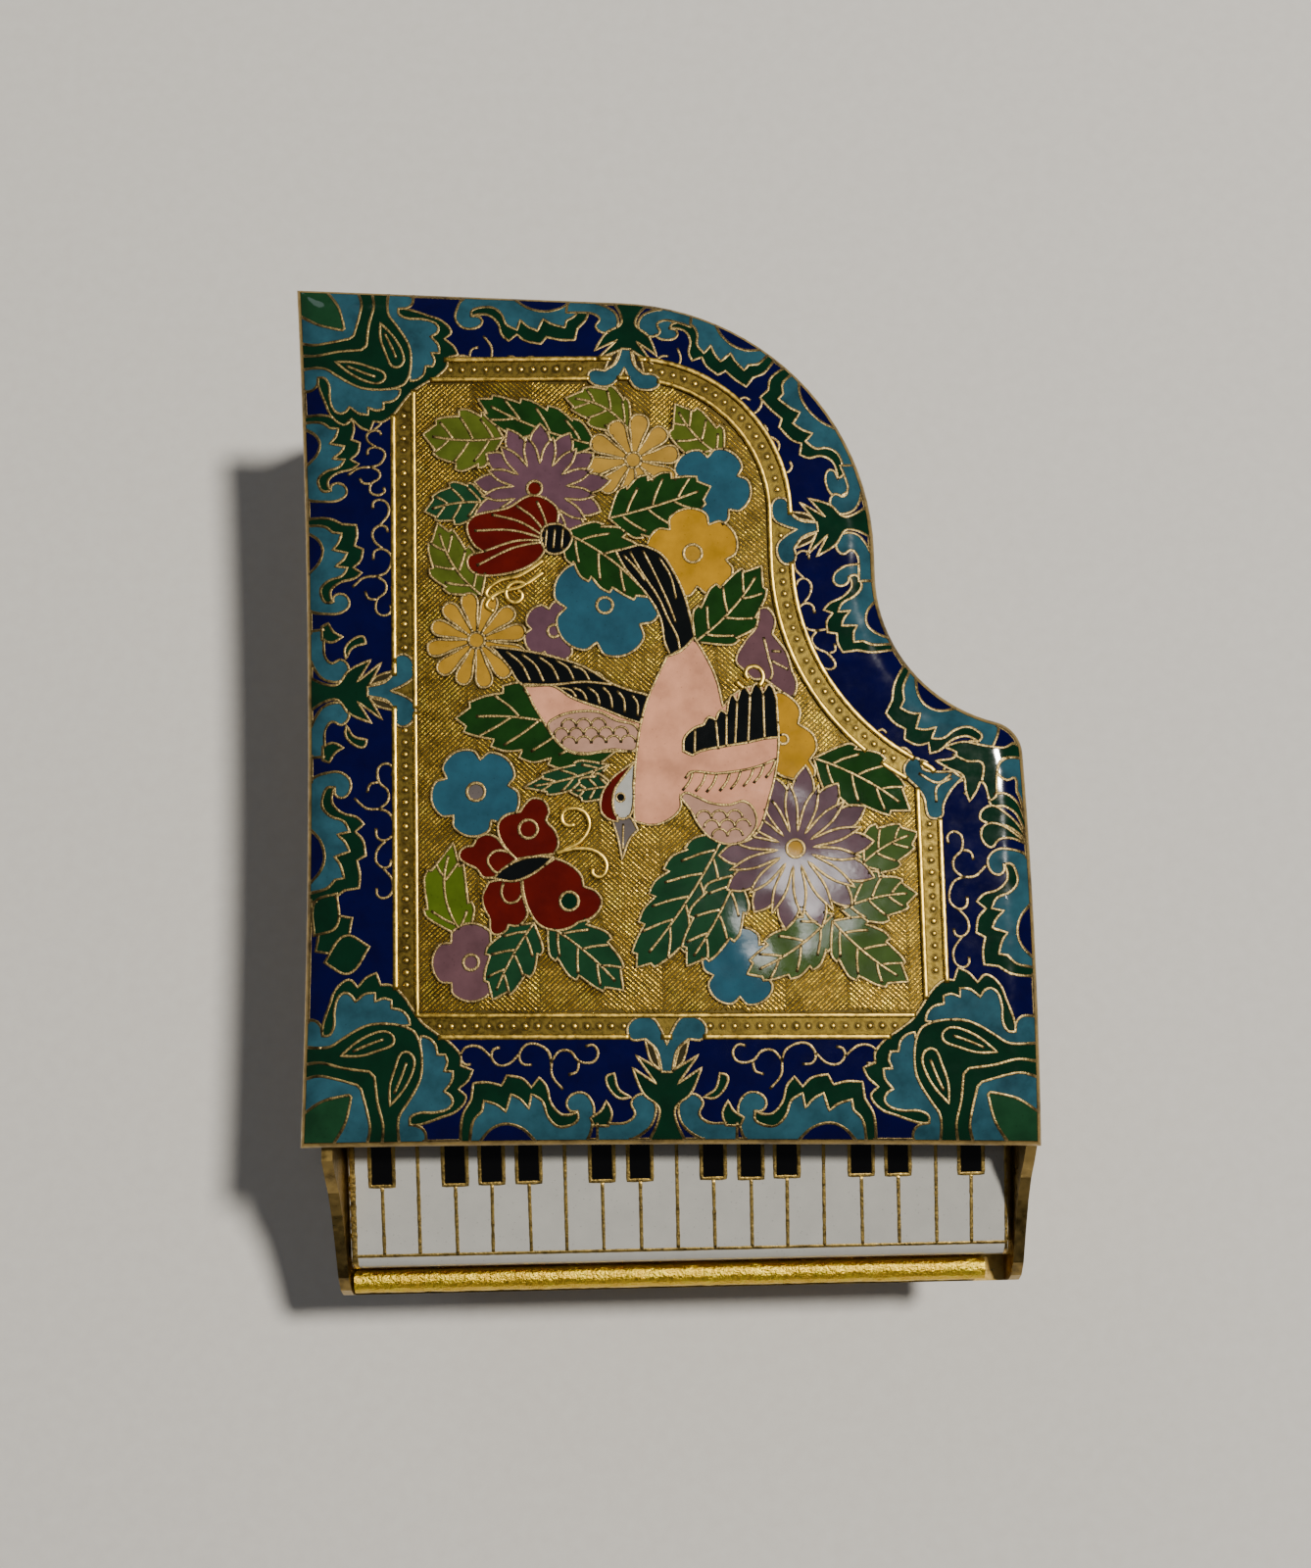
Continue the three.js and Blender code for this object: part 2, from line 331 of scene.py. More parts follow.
def sweep(path, width, surface, lift=WIRE_LIFT, closed=False, wobble=0.07, uneven=0.2, depth=0.14):
    """Low rounded strip along a path drawn on a surface."""
    if closed:
        ahead = np.roll(path, -1, axis=0) - np.roll(path, 1, axis=0)
    else:
        ahead = np.gradient(path, axis=0)
    ahead /= np.maximum(np.hypot(*ahead.T), 1e-9)[:, None]
    across = np.column_stack([ahead[:, 1], -ahead[:, 0]])
    half = width / 2 * (1 + wobble * noise.standard_normal(len(path)))
    height = lift * (1 + np.clip(uneven * noise.standard_normal(len(path)), -0.4, 0.25))
    section = [(-1.0, None), (-0.9, 0.5), (-0.6, 0.9), (0.0, 1.0), (0.6, 0.9), (0.9, 0.5), (1.0, None)]
    rows = []
    for side, share in section:
        flat = path + across * (half * side)[:, None]
        level = np.full(len(path), -depth) if share is None else height * share
        rows.append(surface(flat, level))
    points = np.stack(rows, axis=1).reshape(-1, 3)
    width_count = len(section)
    stations = len(path)
    faces = []
    for i in range(stations if closed else stations - 1):
        near, far = i * width_count, (i + 1) % stations * width_count
        for k in range(width_count):
            m = (k + 1) % width_count
            faces.append((near + k, near + m, far + m, far + k))
    if not closed:
        faces.append(tuple(range(width_count))[::-1])
        faces.append(tuple((stations - 1) * width_count + k for k in range(width_count)))
    return points, faces


class Picture:
    """Coloured areas and wires drawn on a surface, later ones over earlier ones."""

    def __init__(self, base, colour, surface, wire=WIRE, wire_base=False):
        self.areas = []
        self.lines = []
        self.surface = surface
        self.wire = wire
        self.base = subdivide(base, STEP, True)
        self.areas.append((self.base, colour))
        if wire_base:
            self.lines.append((self.base, 0, wire, True, WIRE_LIFT, "wire"))

    def area(self, points, colour, wire=None, lift=WIRE_LIFT, kind="wire"):
        outline = subdivide(points, STEP, True)
        self.areas.append((outline, colour))
        if wire != 0:
            self.lines.append((outline, len(self.areas) - 1, wire or self.wire, True, lift, kind))
        return outline

    def shape(self, points, colour, put=None, **options):
        """An area with a smooth outline through a few points, placed by put."""
        outline = smooth(points)
        return self.area(put(outline) if put else outline, colour, **options)

    def curve(self, points, put=None, **options):
        """A smooth wire through a few points, placed by put."""
        path = smooth(points, closed=False)
        self.line(put(path) if put else path, **options)

    def line(self, points, wire=None, lift=WIRE_LIFT, kind="wire"):
        path = subdivide(points, STEP)
        if len(path) > 1:
            self.lines.append((path, len(self.areas) - 1, wire or self.wire, False, lift, kind))

    def visible_runs(self, path, level, closed):
        shown = inside(self.base, path) | (level == 0)
        for polygon, _ in self.areas[level + 1:]:
            shown &= ~inside(polygon, path)
        if shown.all():
            return [(path, closed)]
        if closed and shown.any():
            turn = int(np.argmin(shown))
            path, shown = np.roll(path, -turn, axis=0), np.roll(shown, -turn)
        runs, start = [], None
        for i, seen in enumerate(np.r_[shown, False]):
            if seen and start is None:
                start = i
            if not seen and start is not None:
                if i - start > 1:
                    runs.append((path[max(start - 1, 0):i + 1], False))
                start = None
        return runs

    def build_wires(self, name, material, kind="wire", **options):
        heap = Heap()
        for path, level, width, closed, lift, line_kind in self.lines:
            if line_kind != kind:
                continue
            for run, whole in self.visible_runs(path, level, closed):
                uneven = (0.07, 0.2) if kind == "wire" else (0.03, 0.06)
                heap.add(*sweep(run, width, self.surface, lift, whole, *uneven))
        return heap.build(name, material, **options)

    def build_areas(self, levels, makers, grid=GRID, slab=SLAB):
        """One closed slab per colour. levels gives a colour's height against the surface."""
        points = [self.base]
        edges = []
        count = 0
        for polygon, _ in self.areas:
            if count:
                points.append(polygon)
            size = len(polygon)
            edges += [(count + i, count + (i + 1) % size) for i in range(size)]
            count += size
        low, high = self.base.min(0), self.base.max(0)
        xs = np.arange(low[0] + grid / 2, high[0], grid)
        ys = np.arange(low[1] + grid / 2, high[1], grid * 0.87)
        mesh_x, mesh_y = np.meshgrid(xs, ys)
        mesh_x[1::2] += grid / 2
        inner = np.column_stack([mesh_x.ravel(), mesh_y.ravel()])
        inner = inner[inside(self.base, inner)]
        inner = inner[distance_to(self.base, inner) > grid * 0.4]
        points.append(inner)
        flat = np.vstack(points)
        verts, _, tris, *_ = delaunay_2d_cdt([Vector(p) for p in flat.tolist()], edges, [], 0, 1e-4)
        verts = np.array([v[:] for v in verts])
        tris = np.array([t for t in tris if len(t) == 3])
        middle = verts[tris].mean(1)
        chosen = np.full(len(tris), -1)
        for index, (polygon, _) in enumerate(self.areas):
            chosen[inside(polygon, middle)] = index
        chosen[~inside(self.base, middle)] = -1
        names = np.array([colour for _, colour in self.areas] + [""])
        painted = names[chosen]
        made = []
        for colour in dict.fromkeys(names[:-1].tolist()):
            mine = tris[painted == colour]
            if not len(mine):
                continue
            used, local = np.unique(mine, return_inverse=True)
            local = local.reshape(-1, 3)
            level = levels.get(colour, -ENAMEL_SINK)
            spots = verts[used]
            top = self.surface(spots, np.full(len(spots), level))
            bottom = self.surface(spots, np.full(len(spots), level - slab))
            faces = [tuple(t) for t in local]
            size = len(used)
            faces += [(c + size, b + size, a + size) for a, b, c in local]
            seen = {(a, b) for t in local for a, b in ((t[0], t[1]), (t[1], t[2]), (t[2], t[0]))}
            faces += [(b, a, a + size, b + size) for a, b in seen if (b, a) not in seen]
            made.append(makers(colour, np.vstack([top, bottom]), faces))
        return made


# Materials

def new_material(name):
    made = bpy.data.materials.new(name)
    made.use_nodes = True
    tree = made.node_tree
    shader = tree.nodes["Principled BSDF"]
    coordinates = tree.nodes.new("ShaderNodeTexCoord")
    return made, tree, shader, coordinates.outputs["Object"]


def noise_texture(tree, coordinates, size_mm, detail=3.0, roughness=0.55):
    texture = tree.nodes.new("ShaderNodeTexNoise")
    texture.inputs["Scale"].default_value = 1.0 / (size_mm * MM)
    texture.inputs["Detail"].default_value = detail
    texture.inputs["Roughness"].default_value = roughness
    tree.links.new(coordinates, texture.inputs["Vector"])
    return texture.outputs["Fac"]


def ramp(tree, value, stops):
    node = tree.nodes.new("ShaderNodeValToRGB")
    band = node.color_ramp
    while len(band.elements) < len(stops):
        band.elements.new(0.5)
    for element, (place, colour) in zip(band.elements, stops):
        element.position = place
        element.color = (*colour, 1.0)
    tree.links.new(value, node.inputs["Fac"])
    return node.outputs["Color"]


def level_range(tree, value, low, high):
    node = tree.nodes.new("ShaderNodeMapRange")
    node.inputs["From Min"].default_value = 0.3
    node.inputs["From Max"].default_value = 0.7
    node.inputs["To Min"].default_value = low
    node.inputs["To Max"].default_value = high
    tree.links.new(value, node.inputs["Value"])
    return node.outputs["Result"]


def add_bump(tree, shader, value, strength, distance_mm):
    bump = tree.nodes.new("ShaderNodeBump")
    bump.inputs["Strength"].default_value = strength
    bump.inputs["Distance"].default_value = distance_mm * MM
    tree.links.new(value, bump.inputs["Height"])
    tree.links.new(bump.outputs["Normal"], shader.inputs["Normal"])


def multiply(tree, first, second, share):
    node = tree.nodes.new("ShaderNodeMix")
    node.data_type = "RGBA"
    node.blend_type = "MULTIPLY"
    node.inputs[0].default_value = share
    tree.links.new(first, node.inputs[6])
    tree.links.new(second, node.inputs[7])
    return node.outputs[2]


def weighted_sum(tree, value, weight, other):
    node = tree.nodes.new("ShaderNodeMath")
    node.operation = "MULTIPLY_ADD"
    node.inputs[1].default_value = weight
    tree.links.new(value, node.inputs[0])
    tree.links.new(other, node.inputs[2])
    return node.outputs[0]


def shade(colour, factor):
    return tuple(min(1.0, c * factor) for c in colour)


def enamel(name, colour, spread=0.22, roughness=0.07, patch_mm=2.4):
    """Fired glass: cloudy colour, fine specks and a slightly uneven gloss."""
    made, tree, shader, coordinates = new_material(name)
    cloud = noise_texture(tree, coordinates, patch_mm, 4.0, 0.6)
    tones = [(0.3, shade(colour, 1 - spread)), (0.5, colour), (0.72, shade(colour, 1 + spread))]
    specks = tree.nodes.new("ShaderNodeTexVoronoi")
    specks.inputs["Scale"].default_value = 1.0 / (0.55 * MM)
    tree.links.new(coordinates, specks.inputs["Vector"])
    dots = ramp(tree, specks.outputs["Distance"], [(0.05, (0.55, 0.55, 0.55)), (0.16, (1, 1, 1))])
    paint = multiply(tree, ramp(tree, cloud, tones), dots, 0.6)
    tree.links.new(paint, shader.inputs["Base Color"])
    wave = noise_texture(tree, coordinates, 1.1, 2.0)
    tree.links.new(level_range(tree, wave, roughness * 0.75, roughness * 1.4), shader.inputs["Roughness"])
    shader.inputs["IOR"].default_value = 1.5
    swell = noise_texture(tree, coordinates, 4.5, 0.0)
    add_bump(tree, shader, weighted_sum(tree, wave, 0.03, swell), 0.6, 0.16)
    return made


def metal(name, colour, dark, roughness=0.32, grain_mm=0.5, wear_mm=3.0, relief=0.3, relief_mm=0.02):
    """Worn metal: tone patches, fine grain in the gloss and in the surface."""
    made, tree, shader, coordinates = new_material(name)
    wear = noise_texture(tree, coordinates, wear_mm, 5.0, 0.65)
    tone = ramp(tree, wear, [(0.34, dark), (0.5, colour), (0.7, shade(colour, 1.15))])
    tree.links.new(tone, shader.inputs["Base Color"])
    shader.inputs["Metallic"].default_value = 1.0
    grain = noise_texture(tree, coordinates, grain_mm, 4.0)
    tree.links.new(level_range(tree, grain, roughness * 0.7, roughness * 1.4), shader.inputs["Roughness"])
    add_bump(tree, shader, grain, relief, relief_mm)
    return made


COLOURS = dict(
    navy=(0.0006, 0.0005, 0.038),
    turquoise=(0.021, 0.082, 0.112),
    dark_green=(0.0012, 0.023, 0.0095),
    leaf_dark=(0.0075, 0.04, 0.0055),
    leaf_teal=(0.009, 0.05, 0.019),
    leaf_light=(0.085, 0.112, 0.0125),
    leaf_lime=(0.083, 0.13, 0.0085),
    leaf_grey=(0.05, 0.092, 0.02),
    lilac=(0.125, 0.06, 0.082),
    mauve=(0.128, 0.062, 0.073),
    purple=(0.11, 0.062, 0.078),
    peach=(0.47, 0.27, 0.042),
    yellow=(0.46, 0.25, 0.024),
    orange=(0.49, 0.25, 0.0125),
    blue=(0.022, 0.089, 0.132),
    red=(0.098, 0.0042, 0.0022),
    pink=(0.8, 0.36, 0.215),
    pale=(0.5, 0.28, 0.2),
    white=(0.48, 0.48, 0.44),
    grey=(0.13, 0.11, 0.105),
    black=(0.0037, 0.0048, 0.0052),
    umber=(0.036, 0.03, 0.013),
    key_white=(0.54, 0.535, 0.5),
    key_black=(0.0022, 0.0022, 0.0025),
)
SPREADS = dict(key_white=0.05, key_black=0.1, turquoise=0.36, leaf_dark=0.3, leaf_light=0.3)
SLOTS = dict(
    navy="navy_enamel", turquoise="turquoise_enamel", dark_green="dark_green_enamel", white="key_enamel",
    black="dark_enamel", red="flower_enamel",
)

gilt_wire = metal("gilt_wire", (0.3, 0.215, 0.085), (0.12, 0.08, 0.03), 0.4, 0.22, 1.0, 0.9, 0.05)
gilt_ridge = metal("gilt_ridge", (0.75, 0.5, 0.09), (0.42, 0.27, 0.045), 0.33, 0.4, 2.0, 0.3, 0.02)
# gilt_ground is the same gilt as gilt_strokes but set far darker: painted shade in the gaps between the
# raised strokes
gilt_ground = metal("gilt_ground", (0.075, 0.053, 0.014), (0.036, 0.026, 0.008), 0.42, 0.35, 2.5, 0.4, 0.03)
# gilt_band is the same gilt as the ridges and beads but set much darker: painted shade in the band sunk
# between the ridges
gilt_band = metal("gilt_band", (0.13, 0.09, 0.018), (0.06, 0.04, 0.009), 0.4, 0.35, 1.2, 0.4, 0.03)
gilt_strokes = metal("gilt_strokes", (0.98, 0.76, 0.2), (0.6, 0.45, 0.1), 0.33, 0.4, 2.0, 0.3, 0.02)
aged_brass = metal("aged_brass", (0.36, 0.245, 0.075), (0.14, 0.093, 0.03), 0.36, 0.6, 4.0, 0.35, 0.03)
key_gilt = metal("key_gilt", (0.55, 0.38, 0.11), (0.22, 0.145, 0.045), 0.38, 0.25, 0.9, 0.8, 0.05)
leg_brass = metal("leg_brass", (0.5, 0.35, 0.15), (0.27, 0.18, 0.075), 0.3, 0.5, 3.0, 0.25, 0.02)
slip_brass = metal("slip_brass", (1.0, 0.66, 0.05), (0.86, 0.54, 0.04), 0.37, 0.28, 1.2, 1.0, 0.14)

enamels = {}


def enamel_of(colour):
    if colour not in enamels:
        enamels[colour] = enamel(colour + "_enamel", COLOURS[colour], SPREADS.get(colour, 0.22))
    return enamels[colour]


def slot_of(colour):
    if colour in SLOTS:
        return SLOTS[colour]
    return "leaf_enamel" if colour.startswith("leaf") else "flower_enamel"


# Lid

lid_edge = piano_outline(LID)


def lid_height(flat):
    """Height of the lid's top at each point, with its rolled edge."""
    reach = distance_to(lid_edge, flat)
    reach = np.where(inside(lid_edge, flat), reach, 0.0)
    part = np.clip((ROLL_WIDTH - reach) / ROLL_WIDTH, 0, 1)
    return LID_TOP_Z - ROLL_DROP * (1 - np.sqrt(1 - part ** 2))


def lid_surface(flat, lift):
    return np.column_stack([flat, lid_height(flat) + lift])


class Border:
    """Places drawings along the lid's edge: u runs along it, v inwards."""

    def __init__(self, outline):
        self.points = resample(outline, 0.25, True)
        ahead = np.roll(self.points, -1, axis=0) - np.roll(self.points, 1, axis=0)
        ahead /= np.hypot(*ahead.T)[:, None]
        normals = np.column_stack([ahead[:, 1], -ahead[:, 0]])
        blur = np.ones(9) / 9
        wrapped = np.vstack([normals[-4:], normals, normals[:4]])
        self.normals = np.column_stack([np.convolve(wrapped[:, i], blur, "valid") for i in (0, 1)])
        steps = np.hypot(*np.diff(np.vstack([self.points, self.points[:1]]), axis=0).T)
        self.places = np.r_[0, np.cumsum(steps)]
        self.around = self.places[-1]

    def look_up(self, source, u):
        closed = np.vstack([source, source[:1]])
        u = np.mod(u, self.around)
        return np.column_stack([np.interp(u, self.places, closed[:, i]) for i in (0, 1)])

    def at(self, start, turn=1, tall=1.0, wide=1.0, middle=0.0):
        """The drawing follows the edge, and rises in the direction square to the edge at its middle."""
        upright = self.look_up(self.normals, [start + middle * turn * wide])

        def put(points):
            edge_points = self.look_up(self.points, points[:, 0] * turn * wide + start)
            return edge_points + upright * (points[:, 1:2] * tall + RIM)
        return put


def spot(x, y, across, up):
    """Places drawings at a point: u along the direction across, v along up."""
    across, up = np.array(across, float), np.array(up, float)
    return lambda points: np.array([x, y]) + points[:, :1] * across + points[:, 1:2] * up


def turned(points, side):
    """The outline, or its mirror image where side is -1."""
    return [(p[0] * side, *p[1:]) for p in points]


def mirrored(half, flip):
    """Half an outline and its reflection."""
    return half + [(*flip(p[0], p[1]), *p[2:]) for p in reversed(half)]


def swap(a, b):
    return b, a


def opposite(u, v):
    return -u, v


# Border drawings, in millimetres: u along the edge, v inwards from the rim.
# A third value marks a sharp corner.

BLOSSOM_CAP = [
    (1.5, 2.5, 1), (2.4, 2.2), (3.3, 2.3), (4.2, 3.3), (4.6, 4.7), (5.3, 5.5, 1), (6.05, 4.6, 1),
    (6.9, 5.4), (8.4, 5.7, 1), (8.9, 4.8, 1), (10.2, 5.1), (11.6, 5.05, 1), (11.8, 3.6, 1), (12.6, 2.25),
    (12.9, -0.2, 1), (1.5, -0.2, 1),
]
BLOSSOM = [
    (12.0, -0.2, 1), (11.6, 1.7), (10.75, 2.6, 1), (10.6, 3.5, 1), (9.3, 3.1), (8.5, 2.5, 1),
    (8.0, 4.05, 1), (7.1, 3.6), (6.3, 2.75, 1), (6.05, 4.05, 1), (5.0, 3.4), (4.5, 2.1), (3.6, 1.2),
    (2.6, 1.2), (1.65, 1.7), (1.65, 2.5, 1), (2.3, 2.5), (2.7, 3.1), (2.4, 3.8), (1.55, 4.15), (0.7, 3.9),
    (0.1, 2.9), (0.2, 1.5), (0.5, 0.4), (0.9, -0.2, 1),
]
BLOSSOM_EYE = [(5.6, -0.2, 1), (6.9, 1.0), (8.5, 1.45), (9.9, 1.0), (11.1, -0.2, 1)]
TRUNK = [
    (-1.65, -0.2, 1), (-0.85, 1.5), (-0.75, 2.8), (-2.1, 4.0), (-3.1, 6.3, 1), (-0.95, 4.85, 1),
    (-2.8, 7.4, 1), (-0.45, 6.0, 1),
]
FORK = [
    (-0.45, 5.9, 1), (-0.9, 7.8), (-1.9, 8.8, 1), (-3.2, 8.8), (-3.5, 9.9), (-2.6, 10.75), (-1.3, 10.7),
    (-0.45, 9.5), (0, 8.3, 1),
]
SLIM_LEAF = [(-1.95, 8.7, 1), (-1.2, 8.1), (-0.85, 7.1), (-0.6, 6.1, 1), (-1.4, 6.8)]
SIDE_VOLUTE = [
    (6.2, -0.2, 1), (6.2, 1.5, 1), (4.8, 1.4), (3.6, 1.5), (2.85, 2.2), (3.2, 3.2), (2.5, 3.95),
    (1.5, 3.75), (1.0, 2.8), (1.3, 1.4), (2.2, 0.5), (3.5, -0.2, 1),
]
SMALL_LEAF = [(3.2, 3.7, 1), (4.3, 4.4), (4.7, 5.8, 1), (5.4, 5.5), (5.1, 4.4), (4.2, 3.6)]
THORN = [(5.2, 1.2, 1), (4.9, 2.3), (5.4, 3.4, 1), (5.9, 2.5), (6.8, 1.9, 1), (6.5, 1.2, 1)]
TENDRIL = [
    [(-0.2, 8.2), (-0.95, 8.3), (-1.4, 7.6), (-0.9, 6.8), (0.4, 6.9), (1.2, 7.75), (2.2, 7.8),
     (3.0, 6.9)],
    [(3.0, 6.9), (3.3, 7.8), (4.3, 8.4), (5.3, 8.4), (6.0, 7.5), (5.7, 6.7), (4.8, 6.6)],
    [(6.0, 7.6), (6.9, 6.75), (7.95, 6.6), (8.6, 7.3), (8.4, 8.0), (7.8, 8.15)],
    [(8.6, 7.3), (9.8, 8.25), (11.0, 8.2), (11.5, 7.45), (11.2, 6.75), (10.5, 6.7)],
    [(0.4, 6.9), (0.6, 6.0), (1.4, 5.7)],
    [(3.0, 6.9), (2.9, 5.6), (1.9, 4.4)],
]
# Shoulder ornament, placed as seen from above
SHOULDER_LEAF = [
    (33.2, 1.2, 1), (32.5, 2.6), (31.4, 2.2), (29.6, 2.4), (27.7, 2.8), (25.9, 2.4, 1), (27.0, 1.6),
    (25.1, 1.1, 1), (26.2, 0.4), (27.5, -0.3), (27.7, -1.7), (28.0, -2.7, 1), (28.7, -1.7), (29.2, -0.9),
    (29.8, -2.6, 1), (30.4, -2.3), (30.6, -0.4), (31.0, 1.0), (32.1, 1.3),
]
SHOULDER_FORK = [
    (22.2, 0.6), (22.9, 1.4), (23.7, 1.2), (23.9, 0.4), (25.2, 0.1), (26.6, 0.1, 1), (27.4, -0.5, 1),
    (26.3, -1.7), (25.6, -3.0), (25.5, -3.9), (24.9, -4.2), (24.2, -3.9), (23.9, -2.3), (23.3, -1.3),
    (22.3, -0.2),
]
SHOULDER_VOLUTE = [
    (33.0, -3.9, 1), (32.7, -2.5), (32.4, -1.8), (32.3, -0.6), (31.5, -0.8), (30.7, -0.2), (30.8, 0.6),
    (31.5, 1.2), (32.7, 1.2), (33.2, 0.2), (33.3, -1.8),
]
SHOULDER_FINGERS = [
    [(33.5, -6.8, 1), (32.3, -4.0), (31.2, -3.2), (30.0, -3.1), (29.8, -2.5), (30.5, -2.0), (31.7, -2.2),
     (32.7, -3.4)],
    [(33.5, -6.8, 1), (32.4, -4.9), (31.1, -3.7), (30.0, -3.1), (29.1, -3.5), (28.9, -4.3), (29.7, -4.7),
     (31.3, -5.0), (32.7, -5.9)],
    [(33.5, -6.8, 1), (32.2, -5.8), (30.8, -4.9), (29.7, -4.7), (29.0, -5.2), (29.0, -6.2), (29.8, -6.9),
     (30.5, -6.2), (31.7, -6.1)],
]
SHOULDER_LINES = [
    [(29.2, -0.9), (29.3, 0.8), (28.0, 1.0), (26.6, 1.7)],
    [(23.5, 0.0), (25.2, -0.9), (26.5, -0.1)],
    [(25.0, -2.7), (25.1, -1.3), (26.5, -0.5)],
]
# Corner ornament: distances from the two edges of the corner, one half of each outline up to the diagonal
CORNER_OUTER = [
    (-0.3, 9.6, 1), (1.5, 9.7, 1), (1.7, 10.8), (2.3, 12.5), (2.8, 13.8), (4.0, 14.7), (4.8, 14.0, 1),
    (5.6, 14.9), (6.5, 15.3, 1), (6.9, 14.2, 1), (7.8, 14.2), (8.9, 13.3), (9.8, 12.0), (10.6, 10.9),
]
CORNER_ARCH = [
    (-0.3, 8.6, 1), (2.2, 8.6), (3.4, 9.3), (4.7, 10.1), (5.9, 10.6), (7.4, 10.7), (8.9, 10.5),
    (9.8, 10.1),
]
CORNER_WING = [
    (-0.3, 11.0, 1), (0.9, 11.0), (1.5, 10.4), (1.6, 9.6, 1), (2.3, 9.7), (2.7, 10.6), (2.7, 11.8),
    (3.0, 13.0), (3.6, 13.5), (4.2, 13.3), (4.6, 12.7, 1), (5.5, 13.4), (6.4, 13.5, 1), (6.4, 12.7, 1),
    (7.2, 13.0), (7.9, 12.8, 1), (7.9, 12.1, 1), (8.8, 11.9), (9.4, 11.3), (9.6, 10.6, 1), (8.9, 10.5),
    (7.4, 10.7), (5.9, 10.6), (4.7, 10.1), (3.4, 9.3), (2.2, 8.6), (-0.3, 8.6, 1),
]
CORNER_SPEAR = [
    (8.0, 8.8), (8.1, 9.5), (7.4, 10.0), (6.2, 9.8), (4.7, 9.0), (3.3, 7.8, 1), (5.1, 7.8), (6.8, 8.3),
]
CORNER_VEIN = [(4.4, 8.2), (5.8, 8.8), (7.2, 9.3)]
CORNER_BANDS = [
    ("dark_green", [(-0.3, 7.0, 1), (1.5, 7.2), (3.6, 6.7), (5.9, 6.4, 1)]),
    ("turquoise", [(-0.3, 5.6, 1), (1.2, 6.0), (2.6, 5.8), (4.8, 5.2, 1)]),
    ("leaf_teal", [(-0.3, 2.5, 1), (1.6, 3.7), (3.0, 4.1), (4.1, 4.3, 1)]),
]


def draw_blossom(picture, put):
    picture.shape(BLOSSOM_CAP, "dark_green", put)
    picture.shape(BLOSSOM, "turquoise", put)
    picture.shape(BLOSSOM_EYE, "navy", put)


def draw_palmette(picture, put, leaves=True):
    for side in (-1, 1):
        picture.shape(turned(SIDE_VOLUTE, side), "turquoise", put)
        if leaves:
            picture.shape(turned(SMALL_LEAF, side), "dark_green", put)
            picture.shape(turned(THORN, side), "dark_green", put)
    for side in (-1, 1):
        picture.shape(turned(SLIM_LEAF, side), "umber", put)
    picture.shape(mirrored(TRUNK, opposite), "dark_green", put)
    picture.shape(FORK + turned(FORK[-2::-1], -1), "turquoise", put)


def draw_lines(picture, put, paths):
    for path in paths:
        picture.curve(path, put)


def draw_corner(picture, put):
    def both(points):
        return points, [(b, a, *rest) for a, b, *rest in points]

    def closed(half):
        return mirrored(half, swap) + [(-0.3, -0.3, 1)]

    picture.shape(closed(CORNER_OUTER), "dark_green", put)
    for wing in both(CORNER_WING):
        picture.shape(wing, "turquoise", put)
    picture.shape(closed(CORNER_ARCH), "dark_green", put)
    for spear in both(CORNER_SPEAR):
        picture.shape(spear, "dark_green", put)
    draw_lines(picture, put, both(CORNER_VEIN))
    for colour, half in CORNER_BANDS:
        picture.shape(closed(half), colour, put)


# Panel drawings

def ring_points(x, y, radius, steps=14):
    angles = np.linspace(0, 2 * math.pi, steps, endpoint=False)
    return np.column_stack([x + radius * np.cos(angles), y + radius * np.sin(angles)])


def draw_eye(picture, x, y, radius, colour):
    picture.area(ring_points(x, y, radius), colour, wire=WIRE * 1.15)


def draw_blunt_flower(picture, x, y, radius, colour, petals=5, turn=0.0, centre=None):
    """Blossom of round lobes, with a small ring in the middle."""
    outline = []
    for k in range(petals):
        for share, reach, *sharp in ((0, 0.72, 1), (0.17, 0.93), (0.5, 1.0), (0.83, 0.93)):
            angle = math.radians(turn) + (k + share) * 2 * math.pi / petals
            outline.append((*polar(x, y, radius * reach, angle), *sharp))
    picture.shape(outline, colour)
    if centre:
        draw_eye(picture, x, y, radius * 0.2, centre)


def draw_daisy(picture, x, y, radius, colour, petals=12, turn=0.0, centre="yellow"):
    """Long round petals, each in its own wire, round a small disc."""
    width = math.pi / petals
    for k in range(petals):
        angle = math.radians(turn) + 2 * math.pi * k / petals
        reach = radius * chance.uniform(0.93, 1.04)
        petal = []
        for part, spread in ((0.16, -0.9), (0.5, -0.8), (0.83, -0.78), (0.97, -0.45), (1.0, 0.0),
                             (0.97, 0.45), (0.83, 0.78), (0.5, 0.8), (0.16, 0.9)):
            petal.append(polar(x, y, reach * part, angle + spread * width))
        picture.shape(petal, colour)
    draw_eye(picture, x, y, radius * 0.17, centre)


def draw_star_flower(picture, x, y, radius, colour, petals=14, turn=0.0, notch=0.55, rows=2, centre=None):
    """Pointed petals in one or two rows."""
    for row in range(rows):
        outer = radius * (1.0 if row == rows - 1 else 1.18)
        inner = radius * (notch if row == rows - 1 else 0.8)
        outline = []
        for k in range(petals):
            step = 2 * math.pi / petals
            start = math.radians(turn) + (k + 0.5 * (rows - 1 - row)) * step
            reach = outer * chance.uniform(0.94, 1.05)
            middle = inner + (reach - inner) * 0.55
            for share, distance, *sharp in ((0, inner, 1), (0.22, middle), (0.5, reach, 1), (0.78, middle)):
                outline.append((*polar(x, y, distance, start + share * step), *sharp))
        picture.shape(outline, colour)
        if row < rows - 1:
            for k in range(petals):
                angle = math.radians(turn) + (k + 0.5) * 2 * math.pi / petals
                picture.line([polar(x, y, outer * part, angle) for part in (0.6, 0.84)])
    if centre:
        draw_eye(picture, x, y, radius * 0.13, centre)


